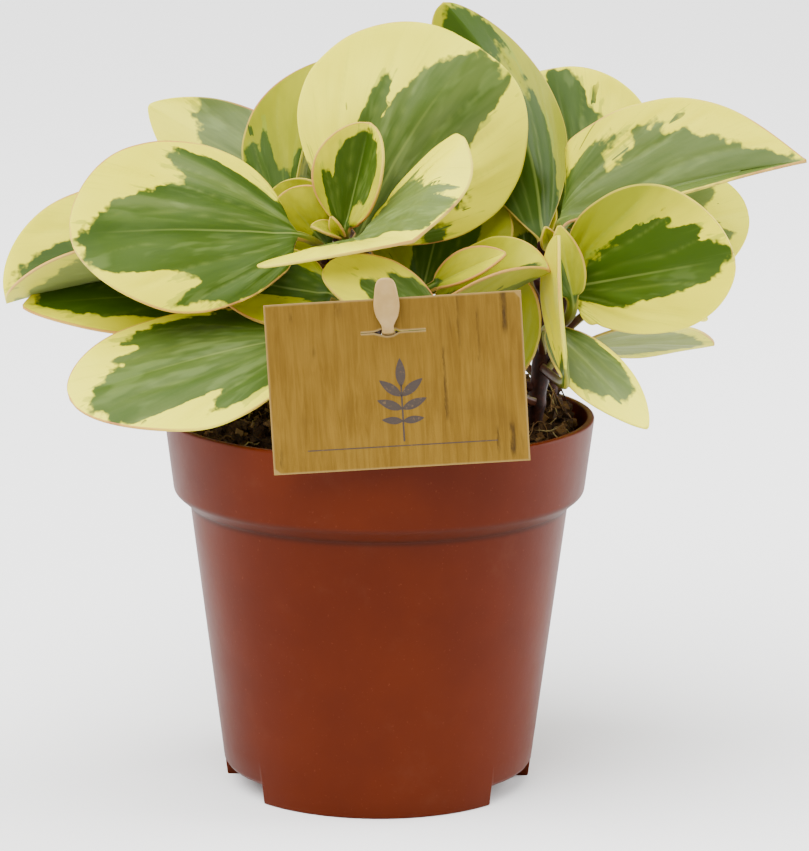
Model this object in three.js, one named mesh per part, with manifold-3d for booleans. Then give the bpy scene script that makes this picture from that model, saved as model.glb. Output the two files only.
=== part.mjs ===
// A potted peperomia with a label card on a holder, standing in a plastic pot.
// Units are millimetres. The origin is the centre of the pot's underside on the floor.
// +X is to the right in the photograph, +Y points away from the viewer and +Z is up.
import * as THREE from "three";
import Module from "manifold-3d";

const wasm = await Module();
wasm.setup();

// Colours of the nodes as hex values
const COLOUR = {
  leaf: 0x9db356,
  stem: 0x6b3a2a,
  soil: 0x3a2a1a,
  pot: 0x8f4328,
  card: 0xa57d37,
  holder: 0xd8c6ae,
};

// Clear distance between two nodes that touch in life
const CLEAR = 0.3;

// Points and directions as arrays of three numbers
const add = (a, b) => [a[0] + b[0], a[1] + b[1], a[2] + b[2]];
const sub = (a, b) => [a[0] - b[0], a[1] - b[1], a[2] - b[2]];
const times = (a, k) => [a[0] * k, a[1] * k, a[2] * k];
const dot = (a, b) => a[0] * b[0] + a[1] * b[1] + a[2] * b[2];
const size = (a) => Math.sqrt(dot(a, a));
const unit = (a) => times(a, 1 / size(a));
const cross = (a, b) => [
  a[1] * b[2] - a[2] * b[1],
  a[2] * b[0] - a[0] * b[2],
  a[0] * b[1] - a[1] * b[0],
];
const radians = (degrees) => (degrees * Math.PI) / 180;

// A closed solid through a row of rings that all have the same even number of points.
// Each ring runs clockwise seen from the end of the row.
function loft(rings) {
  const count = rings[0].length;
  const points = rings.flat();
  const faces = [];
  for (let r = 0; r < rings.length - 1; r += 1) {
    for (let i = 0; i < count; i += 1) {
      const a = r * count + i;
      const b = r * count + ((i + 1) % count);
      faces.push(a, b + count, b);
      faces.push(a, a + count, b + count);
    }
  }
  const last = (rings.length - 1) * count;
  for (let i = 0; i < count / 2 - 1; i += 1) {
    const j = count - 1 - i;
    faces.push(i, i + 1, j);
    faces.push(i + 1, j - 1, j);
    faces.push(last + i, last + j, last + i + 1);
    faces.push(last + i + 1, last + j, last + j - 1);
  }
  return { points, faces };
}

// The body of a list of points and faces, for joining and cutting
function solid({ points, faces }) {
  const mesh = new wasm.Mesh({
    numProp: 3,
    vertProperties: new Float32Array(points.flat()),
    triVerts: new Uint32Array(faces),
  });
  return new wasm.Manifold(mesh);
}

// The body of a turned shape, its equal corners joined
function solidOf(geometry) {
  const position = geometry.getAttribute("position");
  const index = geometry.getIndex();
  const points = [];
  const faces = [];
  const seen = new Map();
  const total = index ? index.count : position.count;
  for (let k = 0; k < total; k += 1) {
    const i = index ? index.getX(k) : k;
    const p = [position.getX(i), position.getY(i), position.getZ(i)];
    const key = p.map((v) => Math.round(v * 10000)).join(",");
    if (!seen.has(key)) {
      seen.set(key, points.length);
      points.push(p);
    }
    faces.push(seen.get(key));
  }
  const kept = [];
  for (let k = 0; k < faces.length; k += 3) {
    const [a, b, c] = [faces[k], faces[k + 1], faces[k + 2]];
    if (a !== b && b !== c && a !== c) {
      kept.push(a, b, c);
    }
  }
  return solid({ points, faces: kept });
}

const group = new THREE.Group();
group.name = "potted_peperomia";

// Puts one solid in the group as a named mesh
function place(name, slot, body) {
  const mesh = body.getMesh();
  const geometry = new THREE.BufferGeometry();
  const stride = mesh.numProp;
  const positions = new Float32Array(mesh.numVert * 3);
  for (let i = 0; i < mesh.numVert; i += 1) {
    positions[i * 3] = mesh.vertProperties[i * stride];
    positions[i * 3 + 1] = mesh.vertProperties[i * stride + 1];
    positions[i * 3 + 2] = mesh.vertProperties[i * stride + 2];
  }
  geometry.setAttribute("position", new THREE.BufferAttribute(positions, 3));
  geometry.setIndex(Array.from(mesh.triVerts));
  geometry.computeVertexNormals();
  const material = new THREE.MeshStandardMaterial({ color: COLOUR[slot], name: slot });
  const object = new THREE.Mesh(geometry, material);
  object.name = name;
  group.add(object);
}

// Stem
// Each point of a stem's middle line has its radius last; the top ends in a small bud.
const STEM_SIDES = 8;
const STEMS = {
  stem_left: [
    [-6, 0, 90, 2.6], [-7, 0, 104, 2.5], [-9, 0, 120, 2.4], [-10, 0, 136, 2.2],
    [-9.5, -1, 148, 1.9], [-10, -2, 152, 1.4], [-10, -2, 154, 0.6],
  ],
  stem_back: [
    [1, 17, 90, 2.4], [0, 17, 104, 2.3], [-2, 18, 120, 2.2], [-3, 18, 134, 2],
    [-4, 19, 144, 1.6], [-4, 19, 148, 0.7],
  ],
  stem_middle: [
    [8, -10, 90, 2.2], [7, -12, 104, 2.1], [6, -16, 120, 2], [6, -18, 134, 1.7],
    [6, -19, 140, 1.2], [6, -19, 142, 0.5],
  ],
  stem_right: [
    [42, -4, 90, 2.4], [43, -5, 104, 2.4], [45, -4, 120, 2.3], [46, 0, 134, 2.1],
    [47, 3, 146, 1.6], [47, 3, 150, 0.7],
  ],
  stem_right_back: [
    [46, 8, 90, 2.4], [47, 9, 104, 2.4], [49, 9, 122, 2.3], [51, 8, 138, 2.1],
    [52, 7, 150, 1.6], [52, 7, 154, 0.7],
  ],
};

function stemSolid(points) {
  const rings = points.map(([x, y, z, radius], i) => {
    const before = points[Math.max(i - 1, 0)];
    const after = points[Math.min(i + 1, points.length - 1)];
    const ahead = unit(sub(after.slice(0, 3), before.slice(0, 3)));
    const left = unit(cross([0, -1, 0], ahead));
    const up = cross(ahead, left);
    const ring = [];
    for (let k = 0; k < STEM_SIDES; k += 1) {
      const angle = radians(202.5 - (360 * k) / STEM_SIDES);
      const aside = times(left, Math.cos(angle) * radius);
      ring.push(add([x, y, z], add(aside, times(up, Math.sin(angle) * radius))));
    }
    return ring;
  });
  return solid(loft(rings));
}

// The stem's middle and radius at a height
function stemAt(name, height) {
  const points = STEMS[name];
  const top = points[points.length - 1][2] - 0.01;
  const i = points.findIndex((point) => point[2] > Math.min(height, top));
  const [low, high] = [points[i - 1], points[i]];
  const share = (Math.min(height, top) - low[2]) / (high[2] - low[2]);
  const mixed = low.map((value, k) => value + (high[k] - value) * share);
  return { middle: mixed.slice(0, 3), radius: mixed[3] };
}

// How far a point lies outside a stem
function outside(name, [x, y, z]) {
  const { middle, radius } = stemAt(name, z);
  const above = Math.max(z - middle[2] - 0.02, 0);
  return Math.hypot(x - middle[0], y - middle[1], above) - radius;
}

for (const [name, points] of Object.entries(STEMS)) {
  place(name, "stem", stemSolid(points));
}

// Leaf
// A blade bends along its middle line by the angle bend, from base to tip.
// Its two halves rise from the middle line by fold and go on turning by curl.
// Half the width at the share t of the length is sin(pi t^k) to the power m, m going
// from the value at the base to the value at the tip.
const ROUND = [1.05, 0.55, 0.5];
const OVATE = [0.95, 0.6, 0.72];
const OBOVATE = [1.25, 0.7, 0.5];
const NECK = 1.3;
const TIP_HALF = 0.3;
const MARGIN_HALF = 0.4;
const MIDDLE_HALF = 0.75;
const STALK_HALF = 1.15;
const BLADE_STEPS = [0.03, 0.1, 0.22, 0.37, 0.53, 0.68, 0.82, 0.93, 0.985, 1];
const SMALL_STEPS = [0.05, 0.2, 0.42, 0.64, 0.84, 0.96, 1];
const STALK_STEPS = [0, 0.5];
const LARGE = 30;

function halfWidth(t, shape) {
  const [k, atBase, atTip] = shape;
  const power = atBase + (atTip - atBase) * t;
  const arc = Math.sin(Math.PI * Math.min(Math.max(t, 0), 1) ** k);
  return Math.max(arc, 0) ** power;
}

// The middle line's point and frame at the share t of the blade
function along(leaf, t) {
  const chord = sub(leaf.tip, leaf.base);
  const reach = size(chord);
  const h = unit(chord);
  const n = unit(sub(leaf.face, times(h, dot(leaf.face, h))));
  const s = cross(n, h);
  const bend = radians(leaf.bend || 0.1);
  const radius = reach / (2 * Math.sin(bend / 2));
  const beta = bend * (t - 0.5);
  const forward = radius * (Math.sin(bend / 2) + Math.sin(beta));
  const lift = radius * (Math.cos(beta) - Math.cos(bend / 2));
  const sway = (leaf.side || 0) * 4 * t * (1 - t);
  const point = add(leaf.base, add(times(h, forward), add(times(n, lift), times(s, sway))));
  const ahead = sub(times(h, Math.cos(beta)), times(n, Math.sin(beta)));
  const up = add(times(h, Math.sin(beta)), times(n, Math.cos(beta)));
  return { point, ahead, up, left: s };
}

// One closed ring across the leaf: the upper side from right to left, then the underside back
function ringAcross(frame, half, halves, fold, curl, lift, across, thick, roundness) {
  const upper = [];
  const under = [];
  for (let i = 0; i <= across; i += 1) {
    const v = -1 + (2 * i) / across;
    const part = Math.abs(v);
    const sideIndex = v > 0 ? 0 : 1;
    const start = v === 0 ? 0 : radians(fold[sideIndex]);
    const turn = v === 0 ? 0 : radians(curl[sideIndex]);
    const end = start + turn * part;
    const step = Math.abs(turn) < 1e-3;
    const a = step ? Math.cos(start) * part : (Math.sin(end) - Math.sin(start)) / turn;
    const b = step ? Math.sin(start) * part : (Math.cos(start) - Math.cos(end)) / turn;
    const reach = half * halves[sideIndex];
    const aside = Math.sign(v) * a * reach;
    const rise = b * reach + lift * v * v;
    const middle = add(frame.point, add(times(frame.left, aside), times(frame.up, rise)));
    const tilt = Math.sign(v) * end;
    const normal = sub(times(frame.up, Math.cos(tilt)), times(frame.left, Math.sin(tilt)));
    const h = MARGIN_HALF + (thick - MARGIN_HALF) * (1 - part) ** roundness;
    upper.push(add(middle, times(normal, h)));
    under.push(sub(middle, times(normal, h)));
  }
  return upper.concat(under.reverse());
}

function leafSolid(leaf) {
  const across = leaf.width >= LARGE ? 6 : 4;
  const steps = leaf.width >= LARGE ? BLADE_STEPS : SMALL_STEPS;
  const rings = [];
  const first = along(leaf, 0);
  const { middle } = stemAt(leaf.stem, leaf.node);
  const run = size(sub(leaf.base, middle));
  const control = sub(leaf.base, times(first.ahead, run * 0.45));
  const away = unit(sub(control, middle));
  const stalkRing = (q, start) => {
    const point = add(
      add(times(start, (1 - q) ** 2), times(control, 2 * q * (1 - q))),
      times(leaf.base, q * q),
    );
    const ahead = unit(add(times(sub(control, start), 1 - q), times(sub(leaf.base, control), q)));
    const up = unit(sub(first.up, times(ahead, dot(first.up, ahead))));
    const frame = { point, up, left: cross(up, ahead) };
    return ringAcross(frame, NECK, [1, 1], [0, 0], [0, 0], 0, across, STALK_HALF, 0.5);
  };
  // The stalk starts as near the stem as its own end lets it.
  let start = middle;
  for (let d = 1; d < run; d += 0.05) {
    start = add(middle, times(away, d));
    const ring = stalkRing(0, start);
    const halfway = ring.map((point) => times(add(point, start), 0.5));
    const tested = ring.concat(halfway, [start]);
    if (tested.every((point) => outside(leaf.stem, point) > CLEAR)) {
      break;
    }
  }
  for (const q of STALK_STEPS) {
    rings.push(stalkRing(q, start));
  }
  for (const t of steps) {
    const frame = along(leaf, t);
    const share = halfWidth(t, leaf.shape);
    const neck = NECK * (1 - t) + TIP_HALF * t;
    const half = Math.hypot((share * leaf.width) / 2, neck);
    const curl = [leaf.curl[0] * share, leaf.curl[1] * share];
    const early = Math.max(0, 1 - t * 12);
    const fold = [leaf.fold[0] * (1 - early ** 2), leaf.fold[1] * (1 - early ** 2)];
    const thick = MIDDLE_HALF + (STALK_HALF - MIDDLE_HALF) * early - 0.2 * t;
    const lift = (leaf.wave || 0) * Math.sin(9 * t + (leaf.phase || 0)) * share;
    const halves = (leaf.halves || [1, 1]).map((share) => 1 + (share - 1) * (1 - early));
    const roundness = 0.5 + 1.5 * (1 - early);
    rings.push(ringAcross(frame, half, halves, fold, curl, lift, across, thick, roundness));
  }
  return solid(loft(rings));
}

// Leaves: each has its stem and the height of its stalk there, the blade's base and tip, the
// direction that its upper side faces, its width, the left and right halves' share of half of
// it, its outline and its angles in degrees. Wave is the height of the ripples along it, and
// side is how far its middle line sways to the left.
const LEAVES = {
  leaf_left_front: {
    stem: "stem_left", node: 144, base: [-24, -14, 157], tip: [-83, -32, 159],
    face: [-0.1, -0.75, 0.65], width: 56, halves: [0.88, 1.03], shape: [1.02, 0.42, 0.5],
    bend: 10, fold: [4, 6], curl: [-22, -6], wave: 0.8, side: -1,
  },
  leaf_left_drooping: {
    stem: "stem_left", node: 122, base: [-20, -26, 131], tip: [-82, -50, 118],
    face: [-0.1, -0.6, 0.8], width: 48, halves: [1, 0.85], shape: ROUND,
    bend: 14, fold: [4, 4], curl: [-10, -14], wave: 0.6,
  },
  leaf_far_left: {
    stem: "stem_left", node: 142, base: [-40, 2, 148], tip: [-103, -8, 137],
    face: [0, -0.26, 0.97], width: 56, halves: [0.8, 1], shape: ROUND,
    bend: 14, fold: [45, 45], curl: [8, -12], wave: 0.4,
  },
  leaf_far_left_under: {
    stem: "stem_left", node: 133, base: [-34, -5, 138], tip: [-98, -12, 135],
    face: [0, -0.35, 0.95], width: 26, shape: OVATE,
    bend: 6, fold: [4, 0], curl: [-10, 0], wave: 0.4,
  },
  leaf_left_back: {
    stem: "stem_back", node: 145, base: [-16, 36, 158], tip: [-67, 48, 185],
    face: [-0.3, -0.8, 0.5], width: 30, shape: OVATE,
    bend: -10, fold: [0, -12], curl: [-10, 10], wave: 1.2,
  },
  leaf_top_left: {
    stem: "stem_back", node: 139, base: [-24, 24, 153], tip: [-14, 34, 200],
    face: [-0.85, -0.45, 0.3], width: 42, halves: [1, 0.5], shape: OVATE,
    bend: 12, fold: [35, 35], curl: [5, 5], wave: 0.4,
  },
  leaf_top_large: {
    stem: "stem_left", node: 146, base: [-5.5, 3, 155], tip: [21.5, 12, 208],
    face: [-0.1, -0.95, 0.3], width: 68, shape: [1.02, 0.55, 0.42],
    bend: 14, fold: [2, -16], curl: [-8, -12], wave: 0.8,
  },
  leaf_crown_upright: {
    stem: "stem_left", node: 151.5, base: [-9.5, -4.5, 158], tip: [-3, -6, 187],
    face: [-0.15, -0.95, 0.2], width: 26, shape: ROUND,
    bend: -14, fold: [15, 35], curl: [15, 30],
  },
  leaf_crown_front: {
    stem: "stem_left", node: 149.5, base: [-7, -12, 155], tip: [9, -41, 159.6],
    face: [0, 0, 1], width: 68, halves: [1.08, 1.14], shape: [1.0, 0.5, 0.42],
    bend: 6, fold: [47, -4], curl: [0, -4],
  },
  leaf_crown_left: {
    stem: "stem_left", node: 139, base: [-15, 0, 152], tip: [-27, -2, 167],
    face: [-0.5, -0.6, 0.6], width: 20, shape: ROUND,
    bend: 8, fold: [8, 8], curl: [0, 0],
  },
  leaf_crown_back: {
    stem: "stem_left", node: 138, base: [-17, 5, 154], tip: [-30, 6, 167],
    face: [-0.3, -0.8, 0.4], width: 20, shape: ROUND,
    bend: 8, fold: [8, 8], curl: [0, 0],
  },
  leaf_middle_back: {
    stem: "stem_middle", node: 120, base: [12, 8, 139], tip: [20, 24, 171],
    face: [0.1, -0.9, 0.4], width: 42, shape: ROUND,
    bend: 10, fold: [6, 6], curl: [0, 0], wave: 0.4,
  },
  leaf_middle_gap: {
    stem: "stem_right", node: 132, base: [40, 20, 147], tip: [33, 26, 165],
    face: [0, -1, 0.3], width: 20, shape: ROUND,
    bend: 8, fold: [6, 6], curl: [0, 0],
  },
  leaf_middle_young: {
    stem: "stem_middle", node: 137, base: [15, -30, 146], tip: [34, -31, 155],
    face: [-0.2, -0.8, 0.7], width: 11, shape: OVATE,
    bend: 8, fold: [30, 30], curl: [0, 0],
  },
  leaf_middle_right: {
    stem: "stem_middle", node: 122, base: [15, -19, 131], tip: [46, -28, 150],
    face: [0, -0.35, 0.95], width: 36, shape: ROUND,
    bend: 10, fold: [35, 45], curl: [0, 0], wave: 0.3,
  },
  leaf_middle_front: {
    stem: "stem_middle", node: 132, base: [17, -40, 136], tip: [-15, -43.5, 152],
    face: [0.2, -0.75, 0.6], width: 22, shape: ROUND,
    bend: 14, fold: [5, 5], curl: [0, 0],
  },
  leaf_under_left_front: {
    stem: "stem_left", node: 131, base: [-18, -12, 141], tip: [-46, -18, 145],
    face: [0, -0.7, 0.7], width: 26, shape: ROUND,
    bend: 10, fold: [5, 5], curl: [0, 0], wave: 0.3,
  },
  leaf_top_tall: {
    stem: "stem_right", node: 143, base: [45, 13, 152], tip: [17, 30, 215],
    face: [0.75, -0.6, 0.25], width: 36, shape: OVATE,
    bend: 30, fold: [-50, 0], curl: [0, 0], wave: 0.3, side: -5,
  },
  leaf_top_right_back: {
    stem: "stem_right_back", node: 136, base: [58, 28, 153], tip: [51, 50, 194],
    face: [0, -0.9, 0.4], width: 48, shape: ROUND,
    bend: 10, fold: [8, 8], curl: [0, 0], wave: 0.5,
  },
  leaf_top_right: {
    stem: "stem_right_back", node: 149, base: [58, 8, 158], tip: [116, -12, 178],
    face: [0, -0.57, 0.82], width: 52, halves: [1, 0.55], shape: [0.8, 0.2, 0.95],
    bend: 10, fold: [30, 34], curl: [0, 0], wave: 0.4,
  },
  leaf_right_behind: {
    stem: "stem_right_back", node: 143, base: [62, 16, 149], tip: [103, 18, 160],
    face: [0, -0.9, 0.4], width: 34, shape: ROUND,
    bend: 12, fold: [5, 5], curl: [0, 0], wave: 0.3,
  },
  leaf_right_front: {
    stem: "stem_right", node: 136, base: [53, -12, 143], tip: [95, -36, 155],
    face: [0, -1, 0.15], width: 48, halves: [1, 0.72], shape: [1.0, 0.3, 0.5],
    bend: 12, fold: [5, -5], curl: [-5, -20], wave: 0.6,
  },
  leaf_right_young: {
    stem: "stem_right", node: 129, base: [54, -19, 143], tip: [50.5, -20, 161],
    face: [0, -1, 0.3], width: 10, shape: OVATE,
    bend: 6, fold: [10, 10], curl: [0, 0],
  },
  leaf_right_upright: {
    stem: "stem_right", node: 112, base: [50.5, -34, 123], tip: [48, -31, 160],
    face: [-1, -0.17, 0.1], width: 24, shape: OBOVATE,
    bend: 6, fold: [10, 10], curl: [5, 5],
  },
  leaf_right_low: {
    stem: "stem_right", node: 121, base: [47, -12, 131], tip: [72, -44, 110],
    face: [0.2, -0.9, 0.5], width: 20, halves: [1, 0.85], shape: OVATE,
    bend: 14, fold: [5, 5], curl: [-8, -8], wave: 0.3,
  },
  leaf_right_level: {
    stem: "stem_right", node: 116, base: [55, -6, 125], tip: [93, 0, 125],
    face: [0, 0.3, 0.95], width: 34, shape: OVATE,
    bend: 12, fold: [5, 5], curl: [-8, -8], wave: 0.3,
  },
  leaf_beside_card: {
    stem: "stem_right", node: 109, base: [37.5, -20, 118], tip: [38, -26, 143],
    face: [0, -1, 0.2], width: 14, shape: ROUND,
    bend: 8, fold: [5, 5], curl: [0, 0],
  },
  leaf_back_left_low: {
    stem: "stem_left", node: 116, base: [-28, 12, 126], tip: [-72, 46, 112],
    face: [-0.2, 0.3, 0.9], width: 46, shape: ROUND,
    bend: 18, fold: [8, 8], curl: [-14, -14], wave: 0.8,
  },
  leaf_back_low: {
    stem: "stem_back", node: 116, base: [-6, 30, 122], tip: [-18, 80, 114],
    face: [0, 0.4, 0.9], width: 48, shape: ROUND,
    bend: 22, fold: [8, 8], curl: [-14, -14], wave: 0.8,
  },
  leaf_back_right_low: {
    stem: "stem_right_back", node: 110, base: [36, 26, 122], tip: [44, 78, 112],
    face: [0.2, 0.4, 0.9], width: 46, shape: ROUND,
    bend: 20, fold: [8, 8], curl: [-14, -14], wave: 0.8,
  },
  leaf_back_right_side: {
    stem: "stem_right_back", node: 124, base: [62, 20, 132], tip: [84, 54, 123],
    face: [0.3, 0.3, 0.9], width: 42, shape: ROUND,
    bend: 18, fold: [8, 8], curl: [-12, -12], wave: 0.6,
  },
  leaf_back_left_middle: {
    stem: "stem_back", node: 130, base: [-26, 20, 140], tip: [-66, 52, 152],
    face: [0, 0, 1], width: 46, shape: ROUND,
    bend: 16, fold: [12, 12], curl: [-10, -10], wave: 0.8,
  },
  leaf_back_middle: {
    stem: "stem_back", node: 122, base: [6, 32, 138], tip: [18, 80, 148],
    face: [0, 0, 1], width: 50, shape: ROUND,
    bend: 18, fold: [10, 10], curl: [-12, -12], wave: 0.8,
  },
  leaf_back_right_middle: {
    stem: "stem_right_back", node: 131, base: [54, 30, 142], tip: [76, 76, 154],
    face: [0, 0, 1], width: 44, shape: ROUND,
    bend: 16, fold: [10, 10], curl: [-10, -10], wave: 0.8,
  },
  leaf_back_upper_left: {
    stem: "stem_back", node: 136, base: [-6, 40, 152], tip: [-22, 82, 176],
    face: [0.1, -0.3, 0.9], width: 42, shape: ROUND,
    bend: 12, fold: [12, 12], curl: [-6, -6], wave: 0.6,
  },
  leaf_back_upper_right: {
    stem: "stem_right_back", node: 139, base: [42, 40, 150], tip: [36, 82, 176],
    face: [0, -0.3, 0.9], width: 42, shape: ROUND,
    bend: 12, fold: [12, 12], curl: [-6, -6], wave: 0.6,
  },
};

for (const [name, leaf] of Object.entries(LEAVES)) {
  place(name, "leaf", leafSolid(leaf));
}

// Pot
// The wall's profile as radius and height, from the floor's middle round the outside and back
const POT_HEIGHT = 105;
const FLOOR_UNDER = 5.5;
const FLOOR_TOP = 7.3;
const FOOT_INNER = 39;
const FOOT_OUTER = 42.7;
const COLLAR_BOTTOM = 80;
const COLLAR_TOP = 86;
const PAD_RADIUS = 9;
const NOTCH_HALF = 21.5;
const NOTCH_MIDDLES = [90, 201.5, 338.5];
const POT_SEGMENTS = 64;

const POT_PROFILE = [
  [0, 0],
  [PAD_RADIUS, 0],
  [PAD_RADIUS, FLOOR_UNDER],
  [FOOT_INNER, FLOOR_UNDER],
  [FOOT_INNER, 0.8],
  [FOOT_INNER + 0.6, 0],
  [FOOT_OUTER - 0.6, 0],
  [FOOT_OUTER, 0.8],
  [52.9, COLLAR_BOTTOM],
  [57.4, COLLAR_TOP],
  [59.6, 103.6],
  [60, 104.4],
  [59.4, POT_HEIGHT],
  [58.6, POT_HEIGHT],
  [58, 104.2],
  [55.8, COLLAR_TOP + 0.8],
  [51.3, COLLAR_BOTTOM + 0.8],
  [41.9, FLOOR_TOP + 1.5],
  [40.4, FLOOR_TOP],
  [0, FLOOR_TOP],
];

function latheSolid(profile, segments) {
  const points = profile.map(([r, z]) => new THREE.Vector2(r, z));
  const geometry = new THREE.LatheGeometry(points, segments);
  geometry.rotateX(Math.PI / 2);
  return solidOf(geometry);
}

// A wedge between two angles round the axis, for cutting a gap in the foot
function wedgeSolid(fromDegrees, toDegrees, inner, outer, low, high) {
  const rings = [low, high].map((z) => {
    const ring = [];
    for (let k = 0; k <= 4; k += 1) {
      const angle = radians(fromDegrees + ((toDegrees - fromDegrees) * k) / 4);
      ring.push([Math.cos(angle) * inner, Math.sin(angle) * inner, z]);
    }
    for (let k = 4; k >= 0; k -= 1) {
      const angle = radians(fromDegrees + ((toDegrees - fromDegrees) * k) / 4);
      ring.push([Math.cos(angle) * outer, Math.sin(angle) * outer, z]);
    }
    return ring;
  });
  return solid(loft(rings));
}

let pot = latheSolid(POT_PROFILE, POT_SEGMENTS);
for (const middle of NOTCH_MIDDLES) {
  const cut = wedgeSolid(middle - NOTCH_HALF, middle + NOTCH_HALF, 30, 50, -1, FLOOR_UNDER);
  pot = pot.subtract(cut);
}
place("pot", "pot", pot);

// Soil
// Lumps of the surface are sums of waves with fixed steps, so each run gives the same soil.
const SOIL_TOP = 99;
const SOIL_RINGS = [0, 11, 22, 33, 43, 51, 56.2];
const SOIL_SEGMENTS = 28;

function soilHeight(x, y) {
  const broad = Math.sin(x * 0.19 + 1.3) * Math.cos(y * 0.23 - 0.4);
  const lumps = Math.sin(x * 0.53 + y * 0.31) * Math.cos(y * 0.47 - x * 0.22 + 0.9);
  const edge = Math.min(Math.hypot(x, y) / 56, 1);
  return SOIL_TOP + 1.2 * broad + 1.1 * lumps - 1.6 * edge ** 3;
}

function soilSolid() {
  const points = [];
  const faces = [];
  const n = SOIL_SEGMENTS;
  points.push([0, 0, soilHeight(0, 0)]);
  for (const r of SOIL_RINGS.slice(1)) {
    for (let k = 0; k < n; k += 1) {
      const angle = (2 * Math.PI * k) / n;
      const x = Math.cos(angle) * r;
      const y = Math.sin(angle) * r;
      points.push([x, y, soilHeight(x, y)]);
    }
  }
  const sides = [[55.2, COLLAR_TOP + 0.8], [50.7, COLLAR_BOTTOM + 0.8], [41.4, FLOOR_TOP + 1.8]];
  for (const [r, z] of sides.concat([[40.2, FLOOR_TOP + CLEAR]])) {
    for (let k = 0; k < n; k += 1) {
      const angle = (2 * Math.PI * k) / n;
      points.push([Math.cos(angle) * r, Math.sin(angle) * r, z]);
    }
  }
  points.push([0, 0, FLOOR_TOP + CLEAR]);
  const rows = (points.length - 2) / n;
  const bottom = points.length - 1;
  for (let k = 0; k < n; k += 1) {
    const next = (k + 1) % n;
    faces.push(0, 1 + k, 1 + next);
    for (let r = 0; r < rows - 1; r += 1) {
      const a = 1 + r * n + k;
      const b = 1 + r * n + next;
      faces.push(a, a + n, b + n);
      faces.push(a, b + n, b);
    }
    const low = 1 + (rows - 1) * n;
    faces.push(low + k, bottom, low + next);
  }
  return solid({ points, faces });
}

// Label card and its holder
// The card stands in front of the plant, its face toward the viewer, turned and leaning a little.
const CARD_WIDTH = 67.5;
const CARD_HEIGHT = 45;
const CARD_THICK = 0.7;
const CARD_MIDDLE = [5, -62.2, 125.4];
const CARD_ROLL = 3.8;
const CARD_LEAN = 4;
const SLIT_WIDTH = 17;
const SLIT_HEIGHT = 2.2;
const SLIT_AT = [-0.2, 13.6];
const HOLDER_AT = -1.5;

// Card directions: across, up and out toward the viewer
const cardFrame = (() => {
  const roll = radians(CARD_ROLL);
  const lean = radians(CARD_LEAN);
  const across = [Math.cos(roll), 0, Math.sin(roll)];
  const upright = [-Math.sin(roll), 0, Math.cos(roll)];
  const up = unit([upright[0] * Math.cos(lean), Math.sin(lean), upright[2] * Math.cos(lean)]);
  const out = cross(across, up);
  return { across, up, out };
})();

function cardPoint(u, v, w) {
  const { across, up, out } = cardFrame;
  return add(CARD_MIDDLE, add(times(across, u), add(times(up, v), times(out, w))));
}

// A box in the card's directions, its ends cut square
function cardBox(u0, u1, v0, v1, w0, w1) {
  const rings = [v0, v1].map((v) => [
    cardPoint(u0, v, w0), cardPoint(u1, v, w0), cardPoint(u1, v, w1), cardPoint(u0, v, w1),
  ]);
  return solid(loft(rings));
}

const halfCard = CARD_WIDTH / 2;
const halfTall = CARD_HEIGHT / 2;
const cardWhole = cardBox(-halfCard, halfCard, -halfTall, halfTall, -CARD_THICK / 2, CARD_THICK / 2);
const [slitU, slitV] = SLIT_AT;
const slit = cardBox(
  slitU - SLIT_WIDTH / 2, slitU + SLIT_WIDTH / 2, slitV - SLIT_HEIGHT / 2, slitV + SLIT_HEIGHT / 2,
  -2, 2,
);
place("label_card", "card", cardWhole.subtract(slit));

// The holder's stick rises from the soil behind the card, comes forward through the slit and
// ends in a round tongue in front. Each row has u, v and w in the card's directions, the half
// width, the half thickness and the lean of the row in degrees.
const HOLDER_ROWS = [
  [0, -44, -17, 1.6, 0.9, 14],
  [0, -20, -11, 1.7, 0.9, 14],
  [0, 2, -5.4, 1.9, 0.8, 15],
  [0, 10.6, -2.8, 2.1, 0.7, 25],
  [0, 12.9, -1, 2.1, 0.45, 60],
  [0, 14.1, 0.9, 2.1, 0.45, 60],
  [0, 15.6, 1.9, 2.2, 0.7, 25],
  [0, 18, 2.3, 2.9, 0.8, 4],
  [0, 22, 2.4, 3.2, 0.8, 0],
  [0, 26, 2.4, 2.6, 0.8, 0],
  [0, 28, 2.4, 1.2, 0.6, 0],
];

function holderSolid(rows, extra) {
  const rings = rows.map(([u, v, w, halfWide, halfThick, lean], i) => {
    const wide = halfWide + extra;
    const thick = halfThick + extra;
    const angle = radians(lean);
    const { across, up, out } = cardFrame;
    const face = sub(times(out, Math.cos(angle)), times(up, Math.sin(angle)));
    const middle = cardPoint(HOLDER_AT + u, i === 0 ? v - extra : v, w);
    const corner = (a, b) => add(middle, add(times(across, a * wide), times(face, b * thick)));
    return [
      corner(-1, -0.5), corner(-0.7, -1), corner(0.7, -1), corner(1, -0.5),
      corner(1, 0.5), corner(0.7, 1), corner(-0.7, 1), corner(-1, 0.5),
    ];
  });
  return solid(loft(rings));
}

place("label_holder", "holder", holderSolid(HOLDER_ROWS, 0));

// The soil has a plain hole for each stem and for the holder's stick.
let soil = soilSolid();
for (const points of Object.values(STEMS)) {
  const wider = points.slice(0, 3).map(([x, y, z, r]) => [x, y, z - CLEAR, r + CLEAR]);
  soil = soil.subtract(stemSolid(wider));
}
const stickHole = holderSolid(HOLDER_ROWS.slice(0, 2), CLEAR);
soil = soil.subtract(stickHole);
place("soil", "soil", soil);

export default group;
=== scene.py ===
"""A potted peperomia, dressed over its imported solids.

Sizes in the tables are millimetres in the frame of the solids, and every object is in metres.
The leaves, stems, pot, soil, card and holder are built again by the formulas of the solids, on
finer grids. The leaves get veins, an uneven rim and a painted pattern of green, cream and yellow.
"""

import math
from types import SimpleNamespace

import bpy
import numpy as np
from mathutils import Matrix


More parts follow.
